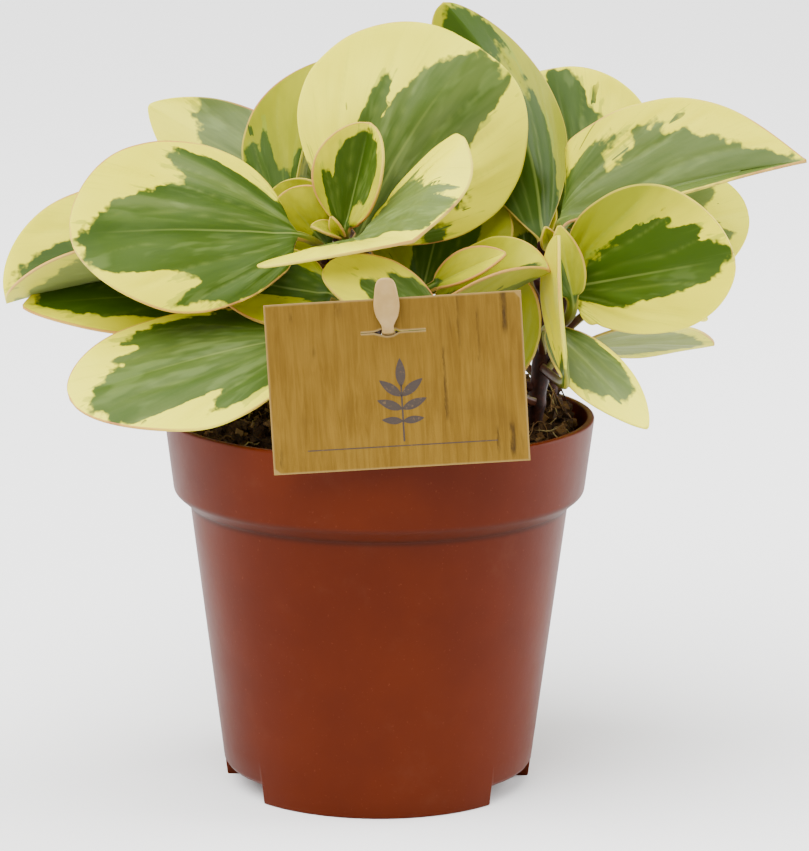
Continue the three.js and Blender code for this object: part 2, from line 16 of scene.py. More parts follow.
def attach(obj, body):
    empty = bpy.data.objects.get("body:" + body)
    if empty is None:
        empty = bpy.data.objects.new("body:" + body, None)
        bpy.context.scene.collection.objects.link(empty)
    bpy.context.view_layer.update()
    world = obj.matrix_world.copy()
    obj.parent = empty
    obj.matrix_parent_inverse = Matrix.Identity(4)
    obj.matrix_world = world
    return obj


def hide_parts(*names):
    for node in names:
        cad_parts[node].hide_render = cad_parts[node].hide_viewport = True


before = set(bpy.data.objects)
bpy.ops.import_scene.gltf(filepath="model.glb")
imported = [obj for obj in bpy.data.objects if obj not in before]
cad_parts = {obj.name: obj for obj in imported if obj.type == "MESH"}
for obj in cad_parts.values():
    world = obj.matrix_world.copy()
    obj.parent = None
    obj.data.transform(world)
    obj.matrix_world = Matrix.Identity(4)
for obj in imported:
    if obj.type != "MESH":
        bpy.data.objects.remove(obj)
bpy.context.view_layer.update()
MM = 0.001

# Start of the random draws, and what each kind of piece adds to it
SEED = 20
STEM_SEED = SEED + 50
BUD_NUMBER = 60
CRUMB_SEED = SEED + 70
FIBRE_SEED = SEED + 71
TINT_SEED = SEED + 3

# Camera of the photograph
CAMERA_PLACE = (7.0, -1050.0, 315.0)
CAMERA_PITCH = 11.5
CAMERA_ROLL = 0.35
FOCAL_PIXELS = 3836.0
PHOTO_HEIGHT = 851.0
SENSOR = 36.0

# Half widths and half thicknesses that all leaves share
NECK = 1.3
TIP_HALF = 0.3
MARGIN_HALF = 0.4
MIDDLE_HALF = 0.75
STALK_HALF = 1.15

# The stalk's form fades out over one part in so many of the blade
STALK_FADE = 12

# How far back a stalk's control point lies, as a share of the way from stem to blade
STALK_SWEEP = 0.36

# Columns across and rows along a blade, for leaves from the large width on and for smaller ones
LARGE = 30
LARGE_GRID = (61, 84)
SMALL_GRID = (31, 46)
STALK_STEPS = 14

# Side veins: the fan of each, and the half widths of the vein and of the groove round it
VEIN_FANS = (0.13, 0.34, 0.58, 0.85)
VEIN_HALF = 0.3
GROOVE_HALF = 1.3

# The fan of a place is its distance aside over length times (share along + start) to the power
FAN_START = 0.06
FAN_POWER = 0.8

# Below this width the painted rim narrows with the leaf
SLIM_WIDTH = 12

# Outlines of the leaves: the power of t, and the powers of the sine at base and tip
ROUND = (1.05, 0.55, 0.5)
OVATE = (0.95, 0.6, 0.72)
OBOVATE = (1.25, 0.7, 0.5)


def leaf_values(
    stem, node, base, tip, face, width, bend, fold, shape=ROUND, halves=(1, 1), curl=(0, 0),
    wave=0, side=0, even=0, sweep=STALK_SWEEP,
):
    """The values of one leaf by their names.

    Node is the height at which the stalk leaves its stem, and face the way that the upper side
    looks. Fold, curl and halves, the share of the width, have one value for the left half and
    one for the right. Wave and side are how far the blade waves and sways, and even is how
    much the left half unfolds toward the tip.
    """
    return dict(
        stem=stem, node=node, base=base, tip=tip, face=face, width=width, bend=bend, fold=fold,
        shape=shape, halves=halves, curl=curl, wave=wave, side=side, even=even, sweep=sweep,
    )


# Leaves as in the solids, but 16 of them have values that follow the photo more closely
LEAVES = {
    "leaf_left_front": leaf_values(
        "stem_left", 144, (-24, -14, 157), (-83, -32, 159), (-0.1, -0.75, 0.65), 56, bend=10,
        fold=(4, 6), shape=(1.02, 0.42, 0.5), halves=(0.88, 1.03), curl=(-22, -6), wave=0.8,
        side=-1,
    ),
    "leaf_left_drooping": leaf_values(
        "stem_left", 122, (-20, -26, 131), (-82, -50, 118), (-0.1, -0.6, 0.8), 48, bend=14,
        fold=(4, 4), halves=(1, 0.85), curl=(-10, -14), wave=0.6,
    ),
    "leaf_far_left": leaf_values(
        "stem_left", 142, (-40, 2, 148), (-103, -8, 137), (0, -0.26, 0.97), 56, bend=14,
        fold=(45, 45), halves=(0.8, 1), curl=(8, -12), wave=0.4,
    ),
    "leaf_far_left_under": leaf_values(
        "stem_left", 133, (-34, -5, 139), (-98, -12, 136.4), (0, -0.35, 0.95), 28, bend=6,
        fold=(-8, 12), shape=OVATE, halves=(1, 1.25), curl=(-10, 0), wave=0.4,
    ),
    "leaf_left_back": leaf_values(
        "stem_back", 145, (-16, 36, 158), (-67, 48, 185), (-0.3, -0.8, 0.5), 30, bend=-10,
        fold=(0, -12), shape=OVATE, curl=(-10, 10), wave=1.2,
    ),
    "leaf_top_left": leaf_values(
        "stem_back", 139, (-24, 24, 153), (-14, 34, 200), (-0.85, -0.45, 0.3), 42, bend=12,
        fold=(35, 35), shape=OVATE, halves=(1, 0.5), curl=(5, 5), wave=0.4,
    ),
    "leaf_top_large": leaf_values(
        "stem_left", 146, (-5.5, 3, 155), (27, 12, 206), (-0.1, -0.95, 0.3), 68, bend=14,
        fold=(2, -16), shape=(1.02, 0.55, 0.36), halves=(1, 0.96), curl=(-8, -12), wave=0.8,
        side=2.5,
    ),
    "leaf_crown_upright": leaf_values(
        "stem_left", 151.5, (-9.5, -4.5, 158), (-3, -6, 187), (-0.15, -0.95, 0.2), 26,
        bend=-14, fold=(15, 35), curl=(15, 30),
    ),
    "leaf_crown_front": leaf_values(
        "stem_left", 149.5, (-7, -12, 155), (9, -41, 159.6), (0, 0, 1), 68, bend=6,
        fold=(47, -5), shape=(1.0, 0.5, 0.38), halves=(1.08, 1.1), curl=(0, -4), even=0.7,
    ),
    "leaf_crown_left": leaf_values(
        "stem_left", 139, (-15, 0, 152), (-27, -2, 167), (-0.5, -0.6, 0.6), 22, bend=8,
        fold=(8, 8), shape=(0.95, 0.4, 0.5),
    ),
    "leaf_crown_back": leaf_values(
        "stem_left", 138, (-17, 5, 154), (-30, 6, 167), (-0.3, -0.8, 0.4), 20, bend=8,
        fold=(8, 8),
    ),
    "leaf_middle_back": leaf_values(
        "stem_middle", 120, (12, 8, 139), (20, 24, 171), (0.1, -0.9, 0.4), 42, bend=10,
        fold=(6, 6), shape=(1.0, 0.3, 0.5), wave=0.4,
    ),
    "leaf_middle_gap": leaf_values(
        "stem_right", 132, (41, 20, 147), (38, 26, 167.5), (0, -1, 0.3), 20, bend=8,
        fold=(6, 6),
    ),
    "leaf_middle_young": leaf_values(
        "stem_middle", 137, (15, -30, 146), (34, -31, 155), (-0.2, -0.8, 0.7), 11, bend=8,
        fold=(30, 30), shape=OVATE,
    ),
    "leaf_middle_right": leaf_values(
        "stem_middle", 122, (15, -19, 131), (46, -28, 150), (0, -0.35, 0.95), 36, bend=10,
        fold=(35, 45), wave=0.3,
    ),
    "leaf_middle_front": leaf_values(
        "stem_middle", 132, (17, -40, 136), (-15, -43.5, 152), (0.2, -0.75, 0.6), 22, bend=14,
        fold=(5, 5), halves=(0.75, 1),
    ),
    "leaf_under_left_front": leaf_values(
        "stem_left", 131, (-14.5, -11, 140), (-46, -18, 145), (0, -0.7, 0.7), 27, bend=10,
        fold=(5, 5), shape=(0.92, 0.3, 0.55), wave=0.3,
    ),
    "leaf_top_tall": leaf_values(
        "stem_right", 143, (45, 13, 152), (17, 30, 216.5), (0.75, -0.6, 0.25), 36, bend=30,
        fold=(-50, 0), shape=(1.0, 0.9, 0.52), halves=(1, 1.12), wave=0.3, side=-5,
    ),
    "leaf_top_right_back": leaf_values(
        "stem_right_back", 136, (58, 28, 153), (49, 50, 196), (0, -0.9, 0.4), 48, bend=10,
        fold=(8, 8), wave=0.5,
    ),
    "leaf_top_right": leaf_values(
        "stem_right_back", 149, (51, 9.5, 158), (116, -12, 178), (0, -0.57, 0.82), 52, bend=10,
        fold=(30, 34), shape=(0.76, 0.2, 0.95), halves=(1.04, 0.55), wave=0.4,
    ),
    "leaf_right_behind": leaf_values(
        "stem_right_back", 143, (62, 16, 149), (103, 18, 160), (0, -0.9, 0.4), 34, bend=12,
        fold=(5, 5), wave=0.3,
    ),
    "leaf_right_front": leaf_values(
        "stem_right", 136, (53, -12, 143), (95, -36, 155), (0, -1, 0.15), 48, bend=12,
        fold=(5, -5), shape=(1.0, 0.3, 0.5), halves=(1, 0.72), curl=(-5, -20), wave=0.6,
    ),
    "leaf_right_young": leaf_values(
        "stem_right", 129, (52.4, -19, 141.5), (48.6, -20, 161), (0, -1, 0.3), 9.5, bend=6,
        fold=(10, 10), shape=(0.75, 0.45, 0.75),
    ),
    "leaf_right_upright": leaf_values(
        "stem_right", 119, (50.5, -34, 121), (48, -31, 160), (-1, -0.17, 0.1), 24, bend=6,
        fold=(10, 10), shape=OBOVATE, curl=(5, 5), sweep=0.1,
    ),
    "leaf_right_low": leaf_values(
        "stem_right", 121, (47, -12, 131), (72, -44, 110), (0.2, -0.9, 0.5), 20, bend=14,
        fold=(5, 5), shape=OVATE, halves=(0.8, 0.85), curl=(-8, -8), wave=0.3,
    ),
    "leaf_right_level": leaf_values(
        "stem_right", 116, (55, -6, 125), (93, 0, 125), (0, 0.42, 0.9), 34, bend=12,
        fold=(5, 5), shape=OVATE, curl=(-8, -8), wave=0.3,
    ),
    "leaf_beside_card": leaf_values(
        "stem_right", 109, (36.8, -20, 119.5), (38.6, -25, 147), (0, -1, 0.2), 12, bend=8,
        fold=(5, 5),
    ),
    "leaf_back_left_low": leaf_values(
        "stem_left", 116, (-28, 12, 126), (-72, 46, 112), (-0.2, 0.3, 0.9), 46, bend=18,
        fold=(8, 8), curl=(-14, -14), wave=0.8,
    ),
    "leaf_back_low": leaf_values(
        "stem_back", 116, (-6, 30, 122), (-18, 80, 114), (0, 0.4, 0.9), 48, bend=22,
        fold=(8, 8), curl=(-14, -14), wave=0.8,
    ),
    "leaf_back_right_low": leaf_values(
        "stem_right_back", 110, (36, 26, 122), (44, 78, 112), (0.2, 0.4, 0.9), 46, bend=20,
        fold=(8, 8), curl=(-14, -14), wave=0.8,
    ),
    "leaf_back_right_side": leaf_values(
        "stem_right_back", 124, (62, 20, 132), (84, 54, 123), (0.3, 0.3, 0.9), 42, bend=18,
        fold=(8, 8), curl=(-12, -12), wave=0.6,
    ),
    "leaf_back_left_middle": leaf_values(
        "stem_back", 130, (-26, 20, 140), (-66, 52, 152), (0, 0, 1), 46, bend=16,
        fold=(12, 12), curl=(-10, -10), wave=0.8,
    ),
    "leaf_back_middle": leaf_values(
        "stem_back", 122, (6, 32, 138), (18, 80, 148), (0, 0, 1), 50, bend=18, fold=(10, 10),
        curl=(-12, -12), wave=0.8,
    ),
    "leaf_back_right_middle": leaf_values(
        "stem_right_back", 131, (54, 30, 142), (76, 76, 154), (0, 0, 1), 44, bend=16,
        fold=(10, 10), curl=(-10, -10), wave=0.8,
    ),
    "leaf_back_upper_left": leaf_values(
        "stem_back", 136, (-6, 40, 152), (-22, 82, 176), (0.1, -0.3, 0.9), 42, bend=12,
        fold=(12, 12), curl=(-6, -6), wave=0.6,
    ),
    "leaf_back_upper_right": leaf_values(
        "stem_right_back", 139, (42, 40, 150), (36, 82, 176), (0, -0.3, 0.9), 42, bend=12,
        fold=(12, 12), curl=(-6, -6), wave=0.6,
    ),
}

# Buds at the tips of the stems
BUDS = {
    "bud_left": leaf_values(
        "stem_left", 153, (-11, -3.5, 155), (-19, -7, 158.5), (-0.2, -0.6, 0.8), 6, bend=14,
        fold=(25, 25), shape=OVATE,
    ),
    "bud_left_small": leaf_values(
        "stem_left", 153, (-10.5, -4, 155), (-13.5, -6, 161), (-0.4, -0.8, 0.3), 3.6, bend=10,
        fold=(30, 30), shape=OVATE,
    ),
    "bud_right": leaf_values(
        "stem_right", 149, (47, 1, 151), (45.5, -3, 158), (0.1, -0.9, 0.3), 5, bend=12,
        fold=(25, 25), shape=OVATE,
    ),
}

# Stems as in the solids: places along the middle line with the radius last
STEMS = {
    "stem_left": [
        (-6, 0, 90, 2.6), (-7, 0, 104, 2.5), (-9, 0, 120, 2.4), (-10, 0, 136, 2.2),
        (-9.5, -1, 148, 1.9), (-10, -2, 152, 1.4), (-10, -2, 154, 0.6),
    ],
    "stem_back": [
        (1, 17, 90, 2.4), (0, 17, 104, 2.3), (-2, 18, 120, 2.2), (-3, 18, 134, 2),
        (-4, 19, 144, 1.6), (-4, 19, 148, 0.7),
    ],
    "stem_middle": [
        (8, -10, 90, 2.2), (7, -12, 104, 2.1), (6, -16, 120, 2), (6, -18, 134, 1.7),
        (6, -19, 140, 1.2), (6, -19, 142, 0.5),
    ],
    "stem_right": [
        (42, -4, 90, 2.4), (43, -5, 104, 2.4), (45, -4, 120, 2.3), (46, 0, 134, 2.1),
        (47, 3, 146, 1.6), (47, 3, 150, 0.7),
    ],
    "stem_right_back": [
        (46, 8, 90, 2.4), (47, 9, 104, 2.4), (49, 9, 122, 2.3), (51, 8, 138, 2.1),
        (52, 7, 150, 1.6), (52, 7, 154, 0.7),
    ],
}

# Stubs that shed stalks left on the stems: height, way aside, ahead and up, radius
STUBS = {
    "stem_left": [
        (143, -7.5, -2.5, -1.0, 2.0), (139, -7.0, -3.0, -2.0, 1.9), (135, -6.0, -3.5, 0.5, 1.7),
        (146, -5.0, -3.0, 1.0, 1.6), (150, -3.7, -5.5, 1.0, 2.0), (148, -7.0, -5.0, 0.0, 2.2),
        (150, -2.6, -4.5, 4.6, 2.0),
    ],
    "stem_middle": [(137, 4.5, 2.0, 1.5, 1.5), (133, 5.0, -1.0, 1.0, 1.5)],
    "stem_right": [
        (113, -5.0, -1.5, 1.0, 1.7), (128, 4.0, -1.0, 1.5, 1.5), (146, -3.2, -4.5, 7.0, 2.0),
        (139, -3.5, -2.0, 4.0, 2.3),
    ],
}

# Painted pattern of each leaf along lines that fan out from the base, in hundredths: the tone,
# from dark green 0 to grey green 100, then pairs of a fan and how far the green reaches there
# as a share of the length. A fan is distance aside over distance along, negative on the right.
# The grey green tones partly stand for painted sheen, and the darkest partly for painted shade.
PLAIN_PAINT = [
    (20, -130, 18), (30, -75, 28), (60, -50, 50), (50, -30, 72), (40, -12, 88), (30, 0, 95),
    (40, 15, 86), (60, 30, 66), (50, 50, 52), (30, 80, 26), (20, 130, 16),
]
PAINT = {
    "bud_left": [(20, -100, 0, 0, 25, 100, 0)],
    "bud_left_small": [(20, -100, 0, 0, 20, 100, 0)],
    "bud_right": [(20, -100, 0, 0, 30, 100, 0)],
    "leaf_left_front": [
        (10, -120, 2, -100, 5, -90, 8, -84, 20, -80, 34, -76, 38), (20, -72, 46),
        (60, -66, 48), (90, -59, 51, -55, 48), (80, -46, 47), (40, -39, 46),
        (20, -36, 54, -30, 62), (30, -25, 65), (70, -22, 70), (80, -20, 77), (70, -16, 82),
        (30, -10, 88), (10, -4, 93, 2, 98), (40, 10, 98), (50, 17, 94, 21, 87, 26, 74, 29, 60),
        (40, 33, 52, 40, 46, 44, 43), (50, 49, 53, 53, 58), (40, 58, 50, 62, 45, 67, 42),
        (30, 72, 38, 78, 33, 84, 27, 92, 19, 100, 13), (20, 115, 7),
    ],
    "leaf_top_large": [
        (42, -110, 4), (52, -70, 8), (62, -60, 16, -55, 28), (72, -50, 40, -45, 45, -35, 60),
        (82, -28, 74, -25, 87), (72, -20, 96), (62, -15, 97), (72, -10, 100), (82, -5, 100),
        (72, 0, 97), (62, 5, 92), (72, 10, 86, 15, 78, 20, 66),
        (62, 25, 50, 27, 66, 30, 68, 35, 64, 40, 50, 45, 36), (52, 60, 28, 80, 18, 100, 12),
    ],
    "leaf_left_drooping": [
        (10, -100, 8, -70, 20), (30, -50, 33), (40, -44, 42), (50, -40, 52, -35, 58),
        (60, -29, 66, -23, 72), (70, -20, 64), (80, -15, 76, -10, 77), (70, -5, 84),
        (60, 0, 90, 10, 94, 20, 92), (70, 27, 81, 30, 56), (60, 33, 42), (50, 38, 46),
        (40, 45, 52, 50, 44, 60, 22), (30, 80, 15, 100, 10),
    ],
    "leaf_far_left": [
        (20, -90, 20, -50, 40, -35, 52, -30, 62, -26, 70, -20, 80), (30, -15, 87),
        (40, -10, 93, -5, 96), (80, 0, 95), (90, 5, 92, 10, 86, 20, 76, 40, 60), (60, 90, 30),
    ],
    "leaf_far_left_under": [
        (10, -60, 60, -40, 75, -20, 90, -10, 95, 0, 96, 3, 90, 8, 80, 13, 68),
        (10, 18, 55, 25, 40, 35, 25), (20, 50, 15),
    ],
    "leaf_left_back": [
        (120, -50, 60, -30, 75, -20, 83, -10, 79, 0, 72, 10, 62, 30, 50, 60, 30),
    ],
    "leaf_top_left": [
        (20, -60, 20, -20, 34), (10, -5, 42, 0, 50, 10, 48), (20, 18, 30),
        (30, 38, 34, 45, 53, 50, 52, 56, 40), (20, 62, 46, 70, 42, 90, 30),
    ],
    "leaf_crown_upright": [
        (10, -120, 2, -80, 4), (30, -60, 10),
        (50, -50, 20, -45, 36, -38, 60, -34, 66, -29, 74), (40, -20, 86), (20, -10, 93),
        (0, 0, 96, 5, 93), (10, 10, 87, 22, 78, 32, 64, 36, 54, 39, 40, 45, 48),
        (20, 55, 47, 60, 43, 64, 20, 83, 4),
    ],
    "leaf_crown_front": [
        (85, -140, 10), (75, -80, 12, -50, 30, -30, 16, 0, 14), (85, 6, 20),
        (105, 10, 80, 14, 95, 38, 97, 47, 95, 57, 90, 60, 72, 70, 86, 76, 60), (95, 79, 72),
        (105, 84, 55, 95, 48, 100, 53), (95, 106, 40, 111, 50, 120, 38, 140, 30, 165, 34),
        (85, 180, 24, 220, 12),
    ],
    "leaf_crown_left": [(20, -100, 5, 0, 30, 100, 5)],
    "leaf_crown_back": [(20, -100, 10, 0, 40, 100, 10)],
    "leaf_middle_back": [
        (0, -120, 10, -90, 18, -70, 28, -60, 40, -50, 52, -45, 60, -40, 70, -35, 80),
        (0, 0, 90), (10, 20, 70, 30, 50, 38, 20, 60, 10),
    ],
    "leaf_middle_gap": [(20, -80, 10, -20, 30, 20, 25, 80, 10)],
    "leaf_middle_young": [(30, -60, 2, 0, 12, 60, 2)],
    "leaf_middle_right": [
        (30, -60, 40, -20, 60, -5, 90), (20, 0, 95, 10, 93, 15, 80, 20, 50, 30, 30, 90, 14),
    ],
    "leaf_middle_front": [
        (50, -80, 12, -60, 25), (60, -50, 35, -40, 42, -30, 52), (50, -20, 52, -12, 64),
        (40, -5, 74, 0, 72, 10, 60, 40, 30),
    ],
    "leaf_under_left_front": [
        (0, -100, 5, -70, 15, -60, 30, -50, 45, -40, 60, -20, 80, 0, 72, 10, 65),
        (10, 15, 60, 20, 30, 25, 20, 40, 12),
    ],
    "leaf_top_tall": [
        (5, -60, 5, -40, 15, -33, 30, -28, 43, -23, 56, -20, 66, -18, 76, -16, 86),
        (5, -12, 92, -6, 97, -3, 98.5, 2, 96.5, 5, 94, 10, 85, 30, 60, 60, 30),
    ],
    "leaf_top_right_back": [
        (40, -80, 20, -60, 35, -40, 50, -30, 64, -28, 65, -24, 69),
        (30, -20, 73, -18, 79, -14, 90), (40, -11, 96), (30, 0, 100), (40, 10, 90),
        (30, 20, 84, 40, 50, 80, 20),
    ],
    "leaf_top_right": [
        (95, -60, 30, -30, 50), (85, -10, 85),
        (75, 0, 98, 3, 97, 6, 89, 12, 77, 19, 69, 26, 61, 31, 58.5, 35, 55),
        (75, 37, 49, 42, 45.5, 47, 46, 50, 43, 55, 41),
        (65, 58.5, 36, 62, 29, 68, 25, 75, 22.5, 80, 21),
        (55, 86, 18, 91, 14, 96, 8, 110, 4, 130, 3, 160, 2),
    ],
    "leaf_right_behind": [
        (120, -50, 50, -20, 80, -13, 88, -10, 80, -3, 78, 0, 74, 10, 76, 20, 82),
        (120, 40, 70, 80, 30),
    ],
    "leaf_right_front": [
        (40, -100, 1, -60, 2, -50, 5, -46, 12, -40, 25, -30, 36, -25, 42, -20, 60),
        (40, -15, 68, -10, 86), (30, -5, 92), (20, -1, 98),
        (0, 5, 100, 10, 93, 12, 91, 15, 82, 20, 86, 24, 83, 28, 70, 30, 68),
        (0, 37, 69, 38.5, 62, 40, 63, 42, 46, 43.5, 55),
        (10, 45, 42, 48, 33, 50, 25, 52, 16, 60, 10, 70, 5, 80, 3, 100, 2),
    ],
    "leaf_right_young": [(20, -70, 0, -10, 2), (30, 4, 12, 10, 60, 20, 72, 70, 60)],
    "leaf_right_upright": [(30, -70, 4, -30, 12, 0, 20, 30, 12, 70, 4)],
    "leaf_right_low": [
        (90, -50, 20, -35, 34, -29, 40, -21, 56), (100, -14, 63), (110, -8, 68, -4, 76),
        (100, 3, 79), (90, 8, 76), (80, 12, 72), (70, 18, 62, 25, 50), (60, 30, 30, 40, 20),
    ],
    "leaf_right_level": [
        (90, -80, 30, -40, 60), (100, -15, 85, 0, 92, 15, 85), (90, 40, 60, 80, 30),
    ],
    "leaf_beside_card": [(90, -80, 3, 0, 16, 80, 3)],
    "leaf_back_left_low": [
        (20, -100, 20), (30, -60, 36), (50, -40, 60), (40, -30, 50), (30, -10, 88),
        (20, 0, 94), (40, 15, 72), (50, 22, 80, 40, 50), (30, 70, 34), (20, 100, 16),
    ],
    "leaf_back_low": [
        (30, -100, 26, -70, 46, -50, 40), (50, -35, 66), (40, -20, 60), (20, -5, 92),
        (30, 5, 95), (60, 20, 84), (50, 32, 56), (40, 45, 60), (30, 60, 36), (20, 100, 20),
    ],
    "leaf_back_right_low": [
        (30, -100, 12), (20, -60, 30), (30, -35, 56), (50, -20, 78), (40, -10, 70),
        (20, 0, 95), (30, 12, 90), (40, 25, 62), (60, 40, 66), (40, 60, 46), (30, 100, 24),
    ],
    "leaf_back_left_middle": [
        (40, -100, 30, -70, 50), (30, -50, 52, -30, 70), (10, -10, 80, 2, 96),
        (50, 15, 70, 30, 50, 40, 54), (30, 60, 30), (20, 100, 10),
    ],
    "leaf_back_middle": [
        (20, -100, 14, -60, 34), (30, -40, 46, -25, 78), (60, -12, 86), (30, 0, 97),
        (10, 10, 92), (20, 22, 76), (50, 36, 68, 50, 44), (30, 70, 40), (20, 100, 22),
    ],
}

# Round spots: places aside and ahead of the leaf's base, and the radius, negative where light
SPOTS = {
    "leaf_top_large": [(-20.2, 22.3, 2.4), (-18.8, 9.6, 3.4)],
    "leaf_crown_upright": [(-5.0, 3.6, -4.0)],
    "leaf_top_tall": [
        (-9.5, 52.0, -3.6), (-8.0, 48.0, -4.2), (-7.0, 44.5, -3.8), (-4.5, 49.0, -3.5),
    ],
    "leaf_right_front": [
        (6.8, 4.2, -3.3), (8.6, 6.5, -3.2), (10.5, 9.5, -3.4), (12.6, 13.5, -3.1),
    ],
    "leaf_top_right": [
        (14.5, 17.5, -2.2), (16.6, 19.5, -2.2), (18.4, 22.0, -2.4), (12.6, 17.0, -1.2),
    ],
    "leaf_crown_front": [(11.0, 0.5, -4.0), (16.5, 1.5, -4.2), (23.0, 2.5, -6.0)],
}

# The light colour of each leaf, from yellow green -1 to pale yellow 1, and its fall per fan.
# # The yellow green end is partly the leaf's own colour and partly painted shade, and the fall
# # per fan is painted shade on the half that turns away from the light.
PLAIN_CREAM = 0.4
CREAM = {
    "leaf_left_front": 0.15, "leaf_top_large": 0.4, "leaf_left_drooping": 0.45,
    "leaf_far_left": -0.35, "leaf_far_left_under": -0.5, "leaf_left_back": 0.7,
    "leaf_top_left": -1.0, "leaf_crown_upright": -0.5, "leaf_crown_front": 0.45,
    "leaf_crown_left": -0.75, "leaf_crown_back": -0.9, "leaf_middle_back": -1,
    "leaf_middle_gap": -0.6, "leaf_middle_young": -0.6, "leaf_middle_right": -0.75,
    "leaf_middle_front": -0.3, "leaf_under_left_front": -0.7, "leaf_top_tall": -1.0,
    "leaf_top_right_back": 0, "leaf_top_right": 0.1, "leaf_right_behind": 0.9,
    "leaf_right_front": -0.15, "leaf_right_young": -0.8, "leaf_right_upright": 0.2,
    "leaf_right_low": 0.5, "leaf_right_level": 0.2, "leaf_beside_card": -1.1,
    "leaf_back_left_low": 0.6, "leaf_back_low": 0.3, "leaf_back_right_low": 0.7,
    "leaf_back_left_middle": 0.8, "leaf_back_middle": 0.2, "leaf_back_upper_left": 0.6,
    "bud_left": -0.8, "bud_left_small": -0.7, "bud_right": -0.7,
}
CREAM_SHADE_SLOPE = {"leaf_right_front": 1.3}


# Helpers for points, colours and meshes
LATTICE = 64
LATTICE_SHIFT = 1000.5


def unit(vector):
    """The vector over its own length."""
    return vector / np.linalg.norm(vector)


def units(vectors):
    """Each row of vectors over its own length."""
    return vectors / np.linalg.norm(vectors, axis=1)[:, None]


def colour(red, green, blue):
    """A screen colour of 0 to 255 as linear red, green, blue and alpha."""
    share = np.array([red, green, blue]) / 255
    linear = np.where(share <= 0.04045, share / 12.92, ((share + 0.055) / 1.055) ** 2.4)
    return (*linear.tolist(), 1.0)


def smooth_step(low, high, x):
    """0 below low, 1 above high, and between them three squares less two cubes of the share."""
    part = np.clip((x - low) / (high - low), 0, 1)
    return part * part * (3 - 2 * part)


def lattice_noise(x, y, size, seed):
    """Random heights from -1 to 1 on a lattice of that spacing, mixed by the smooth step."""
    table = np.random.default_rng(seed).uniform(-1, 1, (LATTICE, LATTICE))
    u = x / size + LATTICE_SHIFT
    v = y / size + LATTICE_SHIFT
    column = np.floor(u).astype(int)
    row = np.floor(v).astype(int)
    along = smooth_step(0, 1, u - column)
    aside = smooth_step(0, 1, v - row)

    def height(line):
        """Heights along one line of the lattice."""
        start = table[column % LATTICE, line % LATTICE]
        return start * (1 - along) + table[(column + 1) % LATTICE, line % LATTICE] * along

    return height(row) * (1 - aside) + height(row + 1) * aside


def grid_faces(rows, count, closed=True):
    """Four-sided faces between rows of points, each row running round when closed."""
    steps = count if closed else count - 1
    first = np.arange(rows - 1)[:, None] * count + np.arange(steps)[None, :]
    beside = np.arange(rows - 1)[:, None] * count + (np.arange(steps)[None, :] + 1) % count
    return np.stack([first, first + count, beside + count, beside], -1).reshape(-1, 4)


def tube_faces(rows, count):
    """The side of a tube of rings, and strips across its first and its last ring."""
    i = np.arange(count // 2 - 1)
    j = count - 1 - i
    last = (rows - 1) * count
    start = np.stack([i, i + 1, j - 1, j], -1)
    end = np.stack([last + i, last + j, last + j - 1, last + i + 1], -1)
    return np.concatenate([grid_faces(rows, count), start, end])


def joined(parts):
    """One mesh out of several, each given as its points and its faces."""
    points = [part.reshape(-1, 3) for part, _ in parts]
    starts = np.cumsum([0] + [len(part) for part in points])
    faces = [part + start for (_, part), start in zip(parts, starts)]
    return np.concatenate(points), np.concatenate(faces)


def polar(radius, angle, height):
    """Places at a distance from the upright axis, an angle round it and a height."""
    x, y, z = np.broadcast_arrays(radius * np.cos(angle), radius * np.sin(angle), height)
    return np.stack([x, y, z], -1)


def make_piece(name, points, faces, material, node=None, values=None, smooth=True):
    """A mesh object of points in millimetres that rides on the part."""
    mesh = bpy.data.meshes.new(name)
    points = points.reshape(-1, 3)
    faces = faces.astype(np.int32)
    sides = faces.shape[1]
    mesh.vertices.add(len(points))
    mesh.vertices.foreach_set("co", (points * MM).astype(np.float32).ravel())
    mesh.loops.add(faces.size)
    mesh.loops.foreach_set("vertex_index", faces.ravel())
    mesh.polygons.add(len(faces))
    mesh.polygons.foreach_set("loop_start", np.arange(0, faces.size, sides, dtype=np.int32))
    mesh.polygons.foreach_set("use_smooth", np.full(len(faces), smooth))
    for key, value in (values or {}).items():
        layer = mesh.attributes.new(key, "FLOAT", "POINT")
        layer.data.foreach_set("value", value.astype(np.float32).ravel())
    mesh.update(calc_edges=True)
    mesh.validate()
    mesh.materials.append(material)
    piece = bpy.data.objects.new(name, mesh)
    bpy.context.scene.collection.objects.link(piece)
    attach(piece, "root")
    if node:
        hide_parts(node)


